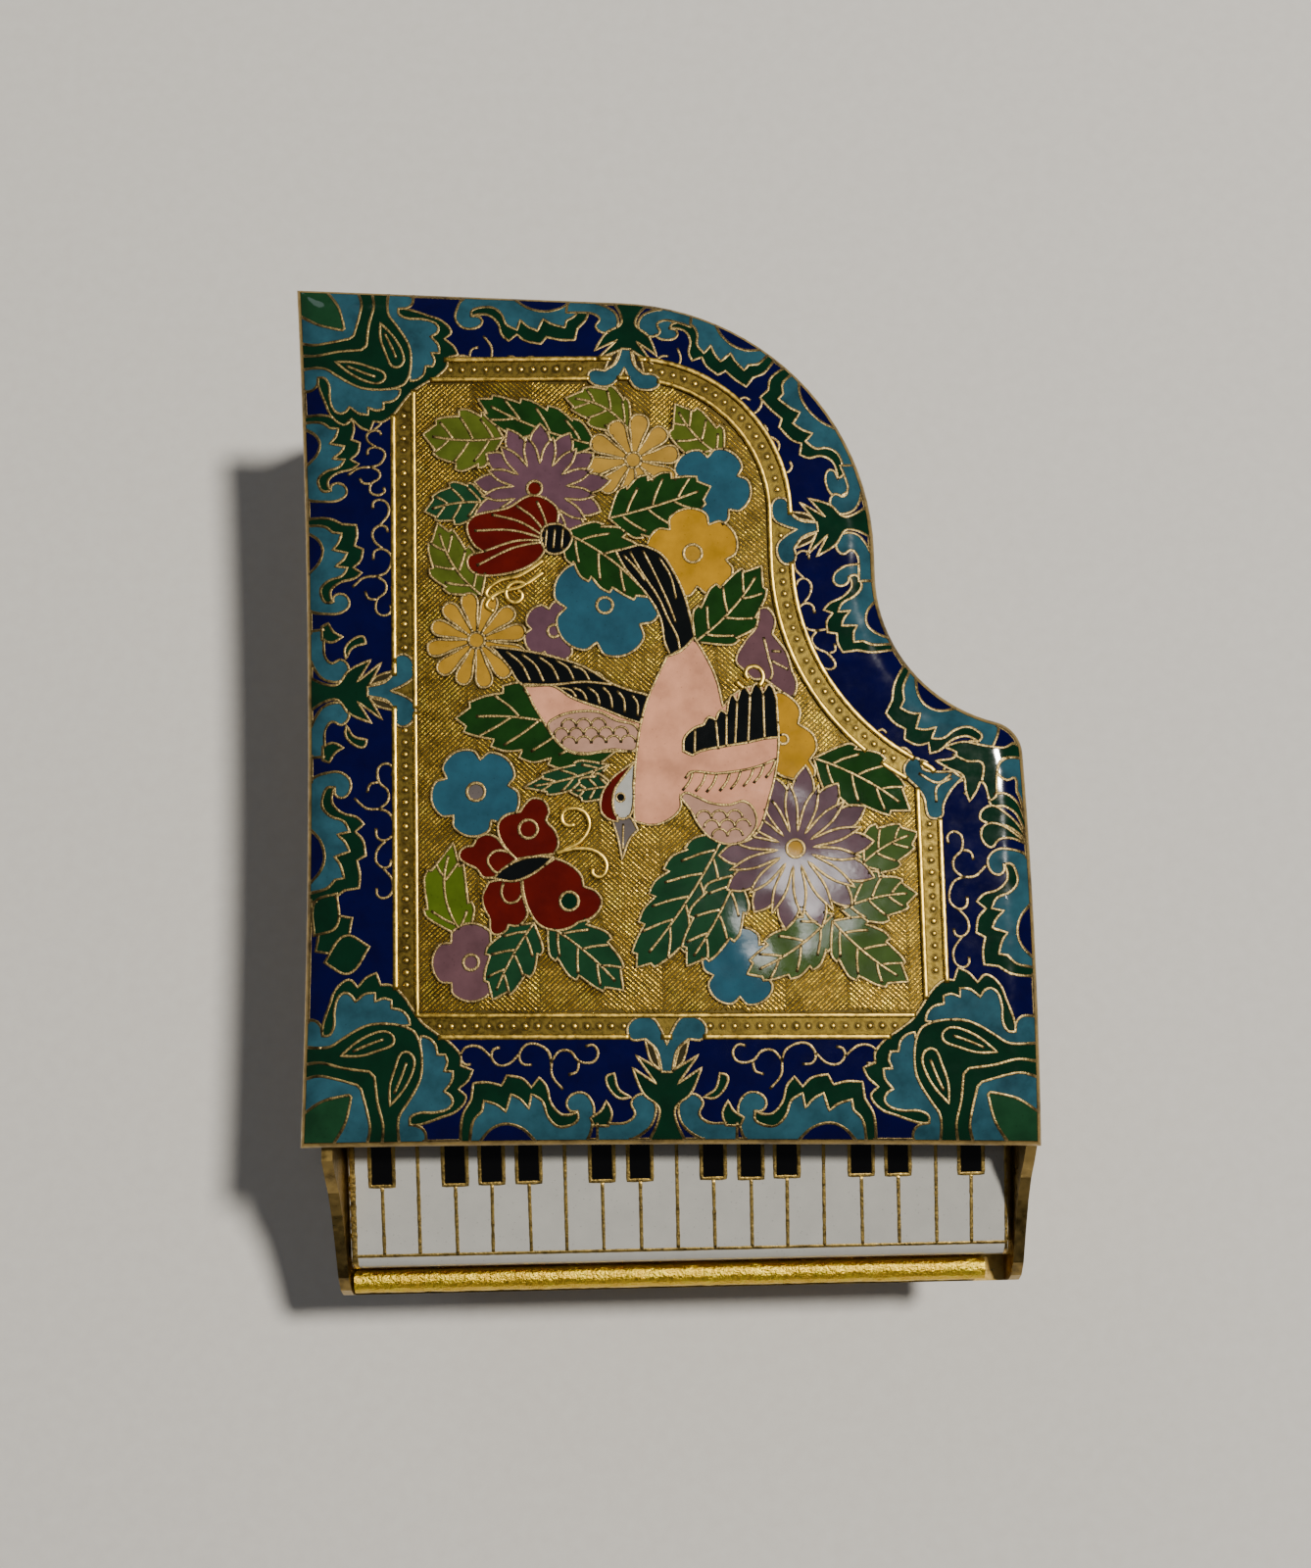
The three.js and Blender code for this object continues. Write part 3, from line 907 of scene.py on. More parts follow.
def draw_leaf(picture, base, tip, width, colour, teeth=4, bend=0.0, veins=3):
    """Toothed leaf with a midrib and side veins."""
    base, tip = np.array(base, float), np.array(tip, float)
    along = tip - base
    length = np.hypot(*along)
    ahead = along / length
    side = np.array([-ahead[1], ahead[0]])

    def place(t, offset):
        curve = bend * 4 * t * (1 - t)
        return base + ahead * length * t + side * (curve + offset)

    def half_width(t):
        return width / 2 * math.sin(math.pi * min(1.0, t) ** 0.8) ** 0.75

    outline = [(*place(0, 0), 1)]
    for direction in (1, -1):
        stops = []
        for k in range(teeth):
            t = (k + 0.75) / (teeth + 0.6)
            stops.append((*place(t, direction * half_width(t) * 1.04),))
            stops.append((*place(t + 0.09, direction * half_width(t + 0.05) * 1.02), 1))
            stops.append((*place(t + 0.08, direction * half_width(t + 0.08) * 0.84), 1))
        outline += stops if direction == 1 else stops[::-1]
        if direction == 1:
            outline.append((*place(1, 0), 1))
    picture.shape(outline, colour)
    rib = [tuple(place(t, 0)) for t in np.linspace(0.0, 0.88, 7)]
    picture.curve(rib)
    for k in range(veins):
        t = 0.12 + 0.5 * k / max(1, veins - 1)
        for direction in (1, -1):
            reach = half_width(t + 0.14) * 0.78 * direction
            shift = 0.05 if direction == 1 else 0.0
            vein = [tuple(place(t + shift, 0)), tuple(place(t + shift + 0.07, reach * 0.45)),
                    tuple(place(t + shift + 0.18, reach))]
            picture.curve(vein)


def spiral(x, y, radius, start, turns, shrink=0.25, steps=26):
    """Open curl that winds inwards."""
    t = np.linspace(0, 1, steps)
    angle = math.radians(start) + t * turns * 2 * math.pi
    reach = radius * (1 - t * (1 - shrink))
    return np.column_stack([x + reach * np.cos(angle), y + reach * np.sin(angle)])


# Lid body

def build_lid_body():
    def ring(form, inset, height):
        outline = piano_outline(form, inset)
        if np.isscalar(height):
            return np.column_stack([outline, np.full(len(outline), height)])
        return np.column_stack([outline, height(outline)])

    def top(drop):
        return lambda outline: lid_height(outline) - drop

    flange_in = FLANGE_INSET + FLANGE_WIDTH
    roll = LID_TOP_Z - ROLL_DROP
    rings = [
        ring(CASE, flange_in, LID_TOP_Z - LID_SHEET),
        ring(CASE, flange_in, LID_BOTTOM_Z - FLANGE_DEPTH),
        ring(CASE, FLANGE_INSET, LID_BOTTOM_Z - FLANGE_DEPTH),
        ring(CASE, FLANGE_INSET, LID_BOTTOM_Z),
        ring(LID, 0.12, LID_BOTTOM_Z),
        ring(LID, 0.0, LID_BOTTOM_Z + 0.12),
        ring(LID, 0.0, roll - 0.12),
        ring(LID, 0.06, roll + 0.06),
        ring(LID, 0.22, top(0.02)),
        ring(LID, RIM - 0.04, top(0.02)),
        ring(LID, RIM + 0.02, top(SLAB - 0.06)),
        ring(LID, 1.4, top(SLAB - 0.04)),
        ring(LID, ROLL_WIDTH - 0.1, top(SLAB - 0.04)),
    ]
    points, faces = loft(rings)
    body = make_object("lid_body", points, faces, aged_brass, replaces="lid", slot="aged_brass")
    return tidy_mesh(body, 35)


# Picture on the lid

border = Border(lid_edge)
picture = Picture(piano_outline(LID, RIM), "navy", lid_surface, wire_base=True)

SIDE_TALL = 0.88
TAIL_TALL = 0.76
PALMETTES = [(31.6, TAIL_TALL, 0.95, False), (65.2, 0.8, 0.9, False), (161.8, 1.0, 1.0, True),
             (235.4, SIDE_TALL, 0.95, True)]


def draw_border():
    """Blossoms and tendrils round the lid. start runs along the edge from the back left corner."""
    blossoms = [
        (15.2, 1, TAIL_TALL, 0.98), (35.0, 1, TAIL_TALL, 0.9), (61.5, -1, TAIL_TALL, 1.05),
        (68.8, 1, SIDE_TALL, 0.68), (90.0, -1, SIDE_TALL, 0.86), (101.8, 1, SIDE_TALL, 0.9),
        (155.6, -1, 1.0, 0.96), (168.2, 1, 1.0, 0.93), (228.2, -1, SIDE_TALL, 0.92),
        (242.6, 1, SIDE_TALL, 0.72), (253.2, 1, SIDE_TALL, 0.66),
    ]
    tendrils = [
        (16.5, 1, 0.86, 0.8), (36.5, 1, 0.8, 0.78), (47.6, 1, 0.8, 0.75),
        (77.5, -1, 0.86, 0.9), (89.5, -1, 0.86, 0.82), (101.5, 1, 0.86, 0.95),
        (154.6, -1, 1.0, 1.0), (169.2, 1, 1.0, 0.95), (227.5, -1, 0.9, 0.95),
        (243.5, 1, 0.9, 0.85), (254.5, 1, 0.86, 0.62),
    ]
    for start, turn, tall, wide in tendrils:
        draw_lines(picture, border.at(start, turn, tall, wide, 6.0), TENDRIL)
    for start, turn, tall, wide in blossoms:
        draw_blossom(picture, border.at(start, turn, tall, wide, 7.0))


def draw_frame():
    """Beaded band round the panel, between two bright ridges."""
    outer = piano_outline(PANEL, -PANEL_FRAME)
    inner = piano_outline(PANEL)
    picture.area(outer, "frame_band", wire=RIDGE * 1.1, lift=RIDGE_LIFT, kind="ridge")
    picture.area(inner, "ground", wire=RIDGE, lift=RIDGE_LIFT, kind="ridge")


def draw_corners():
    rim = piano_outline(LID, RIM)
    back_left = rim[0]
    front_right = rim[np.argmax(rim[:, 0] - rim[:, 1])]
    front_left = rim[np.argmin(rim[:, 0] + rim[:, 1])]
    slope = math.tan(math.radians(LID["tail_slope"]))
    front_slope = math.tan(math.radians(LID["front_slope"]))
    draw_corner(picture, spot(*back_left, (0.96, -0.96 * slope), (0.02, -0.88)))
    draw_corner(picture, spot(*front_left, (0.98, 0.98 * front_slope), (0.01, 0.98)))
    draw_corner(picture, spot(*front_right, (-1.0, -front_slope), (0.0, 1.0)))


def draw_shoulder():
    """Toothed leaf and fork on the shoulder, with a curl and three round fingers below them."""
    for finger in SHOULDER_FINGERS:
        picture.shape(finger, "dark_green")
    picture.shape(SHOULDER_VOLUTE, "turquoise")
    picture.shape(SHOULDER_LEAF, "dark_green")
    picture.curve(SHOULDER_LINES[0])
    picture.shape(SHOULDER_FORK, "turquoise")
    for path in SHOULDER_LINES[1:]:
        picture.curve(path)


def draw_leaf_cluster():
    """Small round leaves on the left edge, above the front corner."""
    put = border.at(211.5, 1, SIDE_TALL, 1.0)
    for u, v, tip_u, tip_v in ((0.4, 0.6, 3.4, 4.4), (1.8, 0.4, 5.6, 2.8), (-0.6, 1.6, 0.8, 6.2)):
        across = 0.35
        du, dv = tip_u - u, tip_v - v
        leaf = [(u, v, 1), (u + du * 0.45 - dv * across, v + dv * 0.45 + du * across), (tip_u, tip_v, 1),
                (u + du * 0.55 + dv * across, v + dv * 0.55 - du * across)]
        picture.shape(leaf, "dark_green", put)


TULIP = [
    (9.5, 15.6, 1), (10.3, 15.6), (10.9, 14.4), (10.6, 13.2, 1), (11.8, 11.5), (12.3, 9.7), (12.7, 8.5),
    (12.2, 7.3), (10.9, 8.1), (9.7, 9.0), (8.8, 9.0), (8.0, 9.8), (7.2, 10.8), (8.1, 12.6), (9.1, 13.8),
]
TULIP_LINES = [
    [(9.8, 12.9), (10.2, 11.0), (10.5, 9.5), (10.2, 8.8)],
    [(10.5, 11.6), (11.4, 11.5)],
    [(10.4, 10.7), (12.0, 9.8)],
]
HALF_BLOSSOM = [
    (10.8, 7.7), (12.0, 7.3), (12.9, 6.1), (12.7, 4.8, 1), (14.0, 3.8), (14.3, 2.5), (13.6, 1.4, 1),
    (14.1, 0.3), (13.2, -0.9), (12.1, -0.3, 1), (10.7, 0.3), (9.8, 2.7), (9.9, 5.9),
]


def draw_panel_back():
    """Leaves and blossoms in the upper half of the panel."""
    draw_leaf(picture, (-13.8, 32.3), (-21.3, 32.8), 5.8, "leaf_light", teeth=3, bend=0.4)
    draw_leaf(picture, (-2.0, 32.6), (-8.0, 36.0), 4.2, "leaf_light", teeth=3, bend=-0.9)
    draw_leaf(picture, (-5.2, 31.4), (-16.2, 36.1), 4.6, "leaf_dark", teeth=4, bend=0.5)
    draw_leaf(picture, (6.6, 30.0), (2.2, 35.2), 4.6, "leaf_light", teeth=2, bend=0.6)
    draw_daisy(picture, -1.8, 29.9, 4.4, "peach", petals=10, turn=8, centre="peach")
    draw_leaf(picture, (-15.2, 26.1), (-21.2, 25.4), 4.0, "leaf_teal", teeth=3, bend=-0.4)
    draw_leaf(picture, (-16.0, 17.4), (-20.0, 24.3), 4.4, "leaf_light", teeth=3, bend=0.8)
    draw_star_flower(picture, -10.5, 27.3, 5.4, "lilac", petals=13, turn=6, notch=0.46)
    draw_blunt_flower(picture, 5.2, 27.2, 3.9, "blue", turn=20)
    draw_leaf(picture, (-4.2, 24.4), (5.3, 27.2), 6.0, "leaf_dark", teeth=4, bend=-0.2)
    draw_blunt_flower(picture, 3.5, 20.9, 4.3, "orange", turn=-12, centre="yellow")
    draw_blunt_flower(picture, -9.4, 13.9, 2.9, "lilac", turn=30, centre="lilac")
    draw_blunt_flower(picture, -4.6, 16.3, 5.1, "blue", turn=40)
    draw_eye(picture, -4.7, 16.2, 0.75, "blue")
    draw_leaf(picture, (-8.4, 23.2), (-0.6, 16.9), 5.6, "leaf_dark", teeth=4, bend=0.6)
    draw_leaf(picture, (3.5, 12.6), (9.8, 19.6), 5.4, "leaf_dark", teeth=3, bend=-0.6)
    picture.shape(TULIP, "mauve")
    for vein in TULIP_LINES:
        picture.curve(vein)
    draw_daisy(picture, -16.5, 13.2, 4.5, "yellow", petals=12, turn=10)


def draw_panel_front():
    """Leaves and blossoms in the lower half of the panel."""
    picture.shape(HALF_BLOSSOM, "orange")
    draw_eye(picture, 11.3, 3.4, 0.45, "orange")
    draw_leaf(picture, (-3.6, 2.9), (-18.5, 6.0), 7.6, "leaf_dark", teeth=5, bend=-1.2, veins=4)
    draw_leaf(picture, (-4.6, 1.4), (-12.4, -0.5), 2.6, "leaf_teal", teeth=2, bend=0.3)
    draw_leaf(picture, (-4.2, -0.5), (-8.2, -1.0), 2.6, "leaf_teal", teeth=2)
    draw_blunt_flower(picture, -16.7, -0.8, 4.1, "blue", turn=10, centre="grey")
    draw_leaf(picture, (14.0, 1.6), (22.6, -3.4), 5.4, "leaf_dark", teeth=3, bend=0.5)
    draw_leaf(picture, (17.4, -8.8), (23.2, -5.4), 4.4, "leaf_grey", teeth=3, bend=0.5)
    draw_leaf(picture, (16.0, -12.2), (22.9, -10.9), 4.6, "leaf_grey", teeth=3, bend=0.4)
    draw_blunt_flower(picture, 6.9, -17.2, 3.6, "blue", turn=50)
    draw_leaf(picture, (5.8, -5.0), (-2.5, -17.0), 6.6, "leaf_teal", teeth=5, bend=0.5, veins=4)
    draw_leaf(picture, (6.8, -8.8), (2.0, -17.0), 4.8, "leaf_teal", teeth=3, bend=0.3)
    draw_leaf(picture, (15.3, -12.6), (7.4, -17.8), 4.8, "leaf_grey", teeth=4, bend=0.6)
    draw_leaf(picture, (15.2, -13.2), (21.8, -18.8), 5.0, "leaf_grey", teeth=3, bend=-0.4)
    draw_star_flower(picture, 12.1, -6.6, 6.2, "purple", petals=14, turn=4, notch=0.26, centre="yellow")
    draw_leaf(picture, (-17.6, -14.2), (-18.8, -5.4), 4.4, "leaf_lime", teeth=2, bend=1.4, veins=2)
    draw_blunt_flower(picture, -17.3, -16.2, 3.5, "mauve", petals=4, turn=45, centre="mauve")
    draw_leaf(picture, (-11.6, -12.8), (-15.4, -19.6), 4.6, "leaf_teal", teeth=3, bend=-0.3)
    draw_leaf(picture, (-10.4, -13.0), (-3.7, -19.0), 5.0, "leaf_teal", teeth=3, bend=0.4)


# Butterfly seen from above
UPPER_WING = [
    (-9.7, -6.6, 1), (-9.3, -5.7), (-9.6, -4.5), (-10.4, -3.5), (-10.1, -2.9), (-10.5, -1.8),
    (-11.6, -1.5), (-12.4, -2.2), (-12.7, -2.7, 1), (-14.0, -3.0), (-14.7, -3.7), (-14.7, -4.7),
    (-14.1, -5.9), (-13.1, -7.0, 1), (-11.5, -6.8),
]
SMALL_UPPER_WING = [
    (-15.1, -8.6, 1), (-16.1, -8.6), (-16.7, -7.8), (-17.5, -7.4), (-18.3, -6.7), (-17.9, -5.9),
    (-17.0, -5.7, 1), (-16.6, -5.0), (-15.8, -4.7), (-14.9, -5.0), (-14.1, -6.0), (-13.1, -7.0, 1),
    (-14.1, -7.8),
]
SMALL_LOWER_WING = [
    (-15.6, -9.0, 1), (-16.2, -10.2), (-16.1, -11.3), (-15.6, -12.3), (-15.5, -13.5), (-14.9, -13.8),
    (-14.1, -13.4), (-13.9, -12.9, 1), (-13.0, -13.0), (-12.2, -12.1), (-12.3, -11.3), (-12.6, -10.2),
    (-12.7, -8.9, 1), (-14.1, -8.8),
]
LOWER_WING = [
    (-12.6, -8.8, 1), (-12.5, -10.0), (-12.1, -11.5), (-11.1, -13.0), (-9.6, -13.5), (-8.4, -13.3),
    (-7.6, -12.8, 1), (-6.5, -12.5), (-5.7, -11.7), (-5.5, -10.8), (-6.1, -10.0), (-7.1, -9.6, 1),
    (-7.3, -8.6), (-8.3, -7.6), (-9.6, -7.0, 1), (-11.2, -8.0),
]
WING_LINES = [
    [(-13.6, -6.4), (-14.9, -6.2), (-15.7, -7.0), (-15.2, -8.0), (-14.7, -8.3)],
    [(-14.3, -9.1), (-14.5, -10.1), (-14.0, -10.9), (-13.1, -10.8), (-12.7, -10.2)],
]
FEELERS = [
    [(-9.6, -6.6), (-8.6, -6.2), (-7.3, -5.5), (-6.5, -4.2), (-6.8, -3.0), (-7.8, -2.5), (-8.8, -2.8),
     (-8.9, -3.7), (-8.3, -4.1), (-7.7, -3.9)],
    [(-9.5, -6.6), (-8.0, -6.2), (-6.3, -6.3), (-5.2, -7.1), (-5.0, -8.1), (-5.6, -8.8), (-6.3, -8.4),
     (-6.1, -7.9)],
]
FLY_BODY = [
    (-15.2, -8.7, 1), (-14.4, -7.9), (-12.9, -7.1), (-11.3, -6.8), (-9.8, -6.9, 1), (-10.8, -7.8),
    (-12.1, -8.6), (-13.5, -9.0),
]
# Butterfly seen from the side, with a fan of ribs
FAN = [
    (-8.8, 24.9), (-9.8, 26.3), (-11.5, 26.7), (-13.5, 25.6), (-16.6, 24.9), (-17.3, 23.9), (-16.7, 22.2),
    (-15.8, 21.5, 1), (-17.1, 21.1), (-17.2, 20.1), (-16.2, 19.3), (-13.5, 19.4), (-11.5, 20.1),
    (-10.3, 21.2),
]
FAN_ROOT = (-9.6, 22.4)
FAN_TIPS = [(-16.4, 20.2), (-15.8, 21.5), (-16.6, 23.5), (-15.0, 25.0), (-12.7, 25.8), (-10.8, 26.2)]
FAN_FEELER = [(-10.2, 20.6), (-12.4, 19.2), (-14.4, 18.7), (-15.6, 17.6), (-14.8, 16.9)]
STRIPED_BODY = [(-10.4, 23.4), (-9.1, 24.0), (-7.8, 23.3), (-7.7, 22.2), (-8.7, 21.2), (-10.0, 21.4)]


def draw_butterflies():
    """One seen from the side with a ribbed fan, one seen from above with ringed wings."""
    picture.shape(FAN, "red")
    for x, y in FAN_TIPS:
        middle = ((FAN_ROOT[0] + x) / 2, (FAN_ROOT[1] + y) / 2 + 0.5)
        picture.curve([FAN_ROOT, middle, (x, y)])
    draw_eye(picture, -11.0, 27.4, 0.7, "red")
    picture.shape(STRIPED_BODY, "black")
    for shift in (0.0, 0.75, 1.5):
        picture.line([(-9.9 + shift, 23.6), (-10.1 + shift, 21.6)], wire=WIRE * 0.8)
    for drop in (0.0, 1.1):
        picture.curve([(x, y - drop) for x, y in FAN_FEELER], **RAISED)
    picture.line(spiral(-12.8, 17.4, 1.3, 40, 1.1), **RAISED)

    for wing in (UPPER_WING, SMALL_UPPER_WING, SMALL_LOWER_WING, LOWER_WING):
        picture.shape(wing, "red")
    for path in WING_LINES:
        picture.curve(path)
    draw_eye(picture, -12.0, -4.3, 0.85, "red")
    draw_eye(picture, -8.4, -10.9, 0.85, "dark_green")
    picture.shape(FLY_BODY, "black")
    for path in FEELERS:
        picture.curve(path, **RAISED)


def draw_feathers(roots, tips, count, bow=0.25):
    """Wires from one line to another, a little bowed."""
    for root, tip in zip(along_line(roots, count), along_line(tips, count)):
        middle = ((root[0] + tip[0]) / 2 + bow, (root[1] + tip[1]) / 2 + bow)
        picture.curve([root, middle, tip], wire=WIRE * 0.9)


def along_line(points, count):
    """Evenly spaced places along a line of points."""
    path = resample(points, 0.2)
    return [tuple(path[int(i)]) for i in np.linspace(0, len(path) - 1, count)]


def draw_scales(picture, low, high, pitch, polygon):
    """Rows of small arcs, kept inside an outline."""
    rows = int((high[1] - low[1]) / (pitch * 0.6)) + 1
    for row in range(rows):
        y = low[1] + row * pitch * 0.6
        x = low[0] + (row % 2) * pitch / 2
        while x < high[0]:
            arch = arc((x, y, pitch / 2), 0, 180, 6)
            if inside(polygon, arch).all():
                picture.line(arch, wire=WIRE * 0.85, lift=0.06)
            x += pitch


# Bird, placed as seen from above
BIRD_TAIL = [
    (-3.6, 21.3, 1), (-2.3, 21.6), (-1.3, 21.8), (0.6, 20.9), (1.8, 19.0), (2.6, 17.1), (3.1, 15.1),
    (3.5, 13.0, 1), (2.4, 12.0), (1.2, 11.4, 1), (0.7, 12.7), (0.5, 14.4), (0.0, 15.8), (-0.8, 17.1),
    (-1.8, 18.4), (-2.8, 19.7),
]
BIRD_QUILLS = [
    [(-2.3, 21.2), (-1.1, 19.0), (0.2, 16.9), (1.1, 14.8), (1.9, 13.1), (2.1, 11.8)],
    [(-1.1, 21.3), (-0.1, 19.2), (1.1, 16.4), (1.8, 14.4)],
    [(0.4, 20.6), (1.4, 18.8), (1.9, 16.6)],
    [(-2.9, 20.9), (-1.9, 19.8), (-0.9, 18.4)],
]
BIRD_BODY = [
    (3.4, 13.0, 1), (4.1, 11.9), (5.0, 10.1), (5.5, 8.6), (5.9, 6.5, 1), (6.6, 7.4), (7.9, 8.2),
    (9.3, 8.3), (10.5, 7.6, 1), (10.9, 4.1), (10.6, 0.8), (9.9, -1.9), (8.9, -4.7), (7.5, -5.9),
    (5.5, -5.7), (3.9, -4.4), (2.9, -2.7), (1.8, -1.5, 1), (1.8, -2.7), (0.8, -3.7), (-0.8, -4.2),
    (-2.4, -3.8, 1), (-2.4, -1.4), (-2.1, 2.3), (-1.7, 4.8), (-1.0, 7.3), (0.0, 9.5), (0.9, 11.3, 1),
    (2.2, 11.8),
]
FAR_BARS = [
    (2.2, 2.5, 1), (2.3, 3.7), (3.2, 4.6), (4.1, 4.9, 1), (4.6, 5.6), (5.2, 5.3, 1), (5.7, 6.2),
    (6.2, 5.8, 1), (6.7, 7.6), (7.2, 7.0, 1), (7.8, 8.3), (8.4, 7.6, 1), (9.0, 8.6), (9.6, 7.7, 1),
    (10.2, 8.5), (10.8, 7.2, 1), (10.9, 3.6, 1), (9.6, 3.5), (8.2, 3.2), (6.1, 2.9), (3.8, 2.5),
    (3.0, 2.1, 1),
]
FAR_BAR_TOPS = [(3.3, 4.5), (5.2, 5.3), (6.2, 5.8), (7.2, 7.0), (8.4, 7.6), (9.6, 7.7)]
FAR_BAR_ENDS = [(3.2, 2.2), (5.4, 2.6), (6.1, 2.8), (6.9, 2.9), (8.1, 3.1), (9.6, 3.4)]
FAR_COMB = [(2.3, 0.0), (2.9, 0.6), (5.0, 0.4), (7.3, 0.6), (9.1, 1.0), (10.6, 1.6)]
FAR_FLUFF = [
    (1.8, -1.7, 1), (2.3, -1.3), (3.3, -1.7), (4.6, -2.3), (6.2, -2.5), (7.6, -2.2), (8.5, -3.1),
    (8.6, -4.5), (7.5, -5.8), (6.1, -6.1), (4.5, -5.5), (3.5, -4.4), (2.7, -2.9),
]
NEAR_WING = [
    (-15.2, 12.6, 1), (-12.0, 12.1), (-9.5, 11.5), (-6.7, 10.5), (-4.2, 8.9), (-2.2, 8.1), (-0.9, 7.6),
    (-1.2, 6.4), (-1.7, 4.8), (-2.1, 2.6, 1), (-5.2, 2.6), (-6.8, 2.4), (-8.2, 2.7), (-9.2, 3.5),
    (-10.2, 5.0), (-11.4, 7.1), (-12.2, 8.8), (-13.6, 10.7),
]
NEAR_BLACK = [
    (-15.2, 12.6, 1), (-12.0, 12.1), (-9.5, 11.5), (-6.7, 10.5), (-4.2, 8.9), (-2.2, 8.1), (-0.9, 7.6),
    (-1.2, 6.4), (-1.7, 5.2, 1), (-3.1, 5.7), (-5.1, 6.6), (-6.5, 7.1), (-7.9, 7.7), (-9.6, 8.8),
    (-12.4, 9.0), (-13.6, 10.7),
]
NEAR_MIDDLE = [(-12.4, 9.0), (-9.6, 8.9), (-6.7, 9.1), (-4.1, 8.8)]
NEAR_SCALY = [
    (-9.8, 5.6), (-8.0, 6.3), (-5.5, 6.3), (-3.9, 5.5), (-2.0, 4.8), (-2.1, 2.8), (-4.3, 2.8),
    (-6.8, 2.5), (-8.4, 2.9), (-9.4, 3.9), (-10.1, 5.0),
]
BIRD_CROWN = [
    (-2.3, 1.5), (-3.1, 1.1), (-4.4, 0.1), (-5.3, -1.3), (-5.4, -2.8), (-4.7, -3.6), (-3.9, -3.8, 1),
    (-4.0, -2.8), (-4.1, -1.3), (-3.2, 0.0),
]
BIRD_CHEEK = [
    (-2.2, 1.7, 1), (-3.3, 0.3), (-4.1, -0.9), (-4.3, -2.4), (-3.8, -3.5), (-2.8, -3.3), (-2.4, -1.8),
    (-2.4, -0.4),
]
BIRD_BEAK = [
    (-4.4, -3.7, 1), (-3.9, -5.4), (-3.6, -7.3, 1), (-2.9, -5.5), (-2.1, -4.6, 1), (-2.8, -3.4),
    (-3.6, -3.5),
]


def draw_bird():
    """Small bird flying down, with black tail and flight feathers and a pink body."""
    picture.shape(BIRD_TAIL, "black")
    for quill in BIRD_QUILLS:
        picture.curve(quill, wire=WIRE * 0.9)
    picture.shape(NEAR_WING, "pink")
    scaly = smooth(NEAR_SCALY)
    picture.area(scaly, "pale")
    draw_scales(picture, (-10.2, 2.6), (-1.8, 6.6), 1.35, scaly)
    picture.shape(NEAR_BLACK, "black")
    picture.curve(NEAR_MIDDLE)
    draw_feathers([(-13.8, 12.1), (-9.6, 11.3), (-6.3, 10.1)], [(-11.6, 9.2), (-7.6, 9.2), (-4.8, 9.1)], 6)
    draw_feathers([(-9.0, 8.6), (-5.0, 8.6), (-2.4, 7.8)], [(-7.4, 7.6), (-4.5, 6.6), (-1.9, 5.8)], 6)
    picture.shape(BIRD_BODY, "pink")
    fluff = smooth(FAR_FLUFF)
    picture.area(fluff, "pale")
    draw_scales(picture, (1.8, -6.2), (8.8, -1.2), 1.4, fluff)
    comb = smooth(FAR_COMB, closed=False)
    picture.line(comb, lift=0.06)
    for x, y in along_line(comb, 9)[1:]:
        picture.curve([(x, y), (x - 0.35, y - 0.9), (x - 1.0, y - 1.7)], lift=0.06)
    picture.shape(FAR_BARS, "black")
    for top, end in zip(FAR_BAR_TOPS, FAR_BAR_ENDS):
        picture.line([top, end], wire=WIRE * 0.9)
    picture.shape(BIRD_BEAK, "grey")
    picture.line([(-3.4, -4.0), (-3.5, -6.5)], wire=WIRE * 0.8)
    picture.shape(BIRD_CROWN, "red")
    picture.shape(BIRD_CHEEK, "white")
    picture.area(ring_points(-3.6, -1.6, 0.4, 10), "black", wire=WIRE * 0.7)


def draw_scrollwork():
    """Raised gilt curls on the ground between the flowers."""
    curls = [(8.6, 9.4, 1.5, 200, 1.1), (8.9, 7.6, 1.2, 20, -1.0), (-15.0, 20.2, 1.3, 0, 1.1)]
    for x, y, radius, start, turns in curls:
        picture.line(spiral(x, y, radius, start, turns), **RAISED)


def bead_ring(x, y, radius, sides=12):
    """Shallow dark disc under a bead, a little wider than it."""
    foot = ring_points(x, y, radius * 1.45, sides)
    levels = (LID_TOP_Z - 0.1 - 0.05, LID_TOP_Z - 0.1 + 0.008)
    return loft([np.column_stack([foot, np.full(sides, level)]) for level in levels])


def dome(x, y, radius, rows=3, around=9):
    """Low half ball with a closed foot."""
    foot, height = LID_TOP_Z - 0.12, 0.14
    points = []
    for r in range(rows):
        tilt = math.pi / 2 * r / rows
        for k in range(around):
            place = polar(x, y, radius * math.cos(tilt), 2 * math.pi * k / around)
            points.append((*place, foot + height * math.sin(tilt)))
    points.append((x, y, foot + height))
    faces = []
    last = (rows - 1) * around
    for low in range(0, last, around):
        for k in range(around):
            m = (k + 1) % around
            faces.append((low + k, low + m, low + around + m, low + around + k))
    faces += [(last + k, last + (k + 1) % around, last + around) for k in range(around)]
    faces.append(tuple(range(around))[::-1])
    return points, faces


def build_beads(outline, pitch, radius, keep_out):
    """Beads along a closed line, left out where something lies over it."""
    line = resample(outline, pitch, True)
    clear = np.ones(len(line), bool)
    for polygon in keep_out:
        clear &= ~inside(polygon, line)
        clear &= distance_to(polygon, line) > radius
    beads, rings = Heap(), Heap()
    for x, y in line[clear]:
        size = radius * chance.uniform(0.9, 1.08)
        rings.add(*bead_ring(x, y, size))
        beads.add(*dome(x, y, size))
    gilt = dict(replaces="lid", slot="gilt_ground")
    rings.build("bead_rings", gilt_ground, smooth_shading=False, **gilt)
    beads.build("frame_beads", gilt_ridge, **gilt)


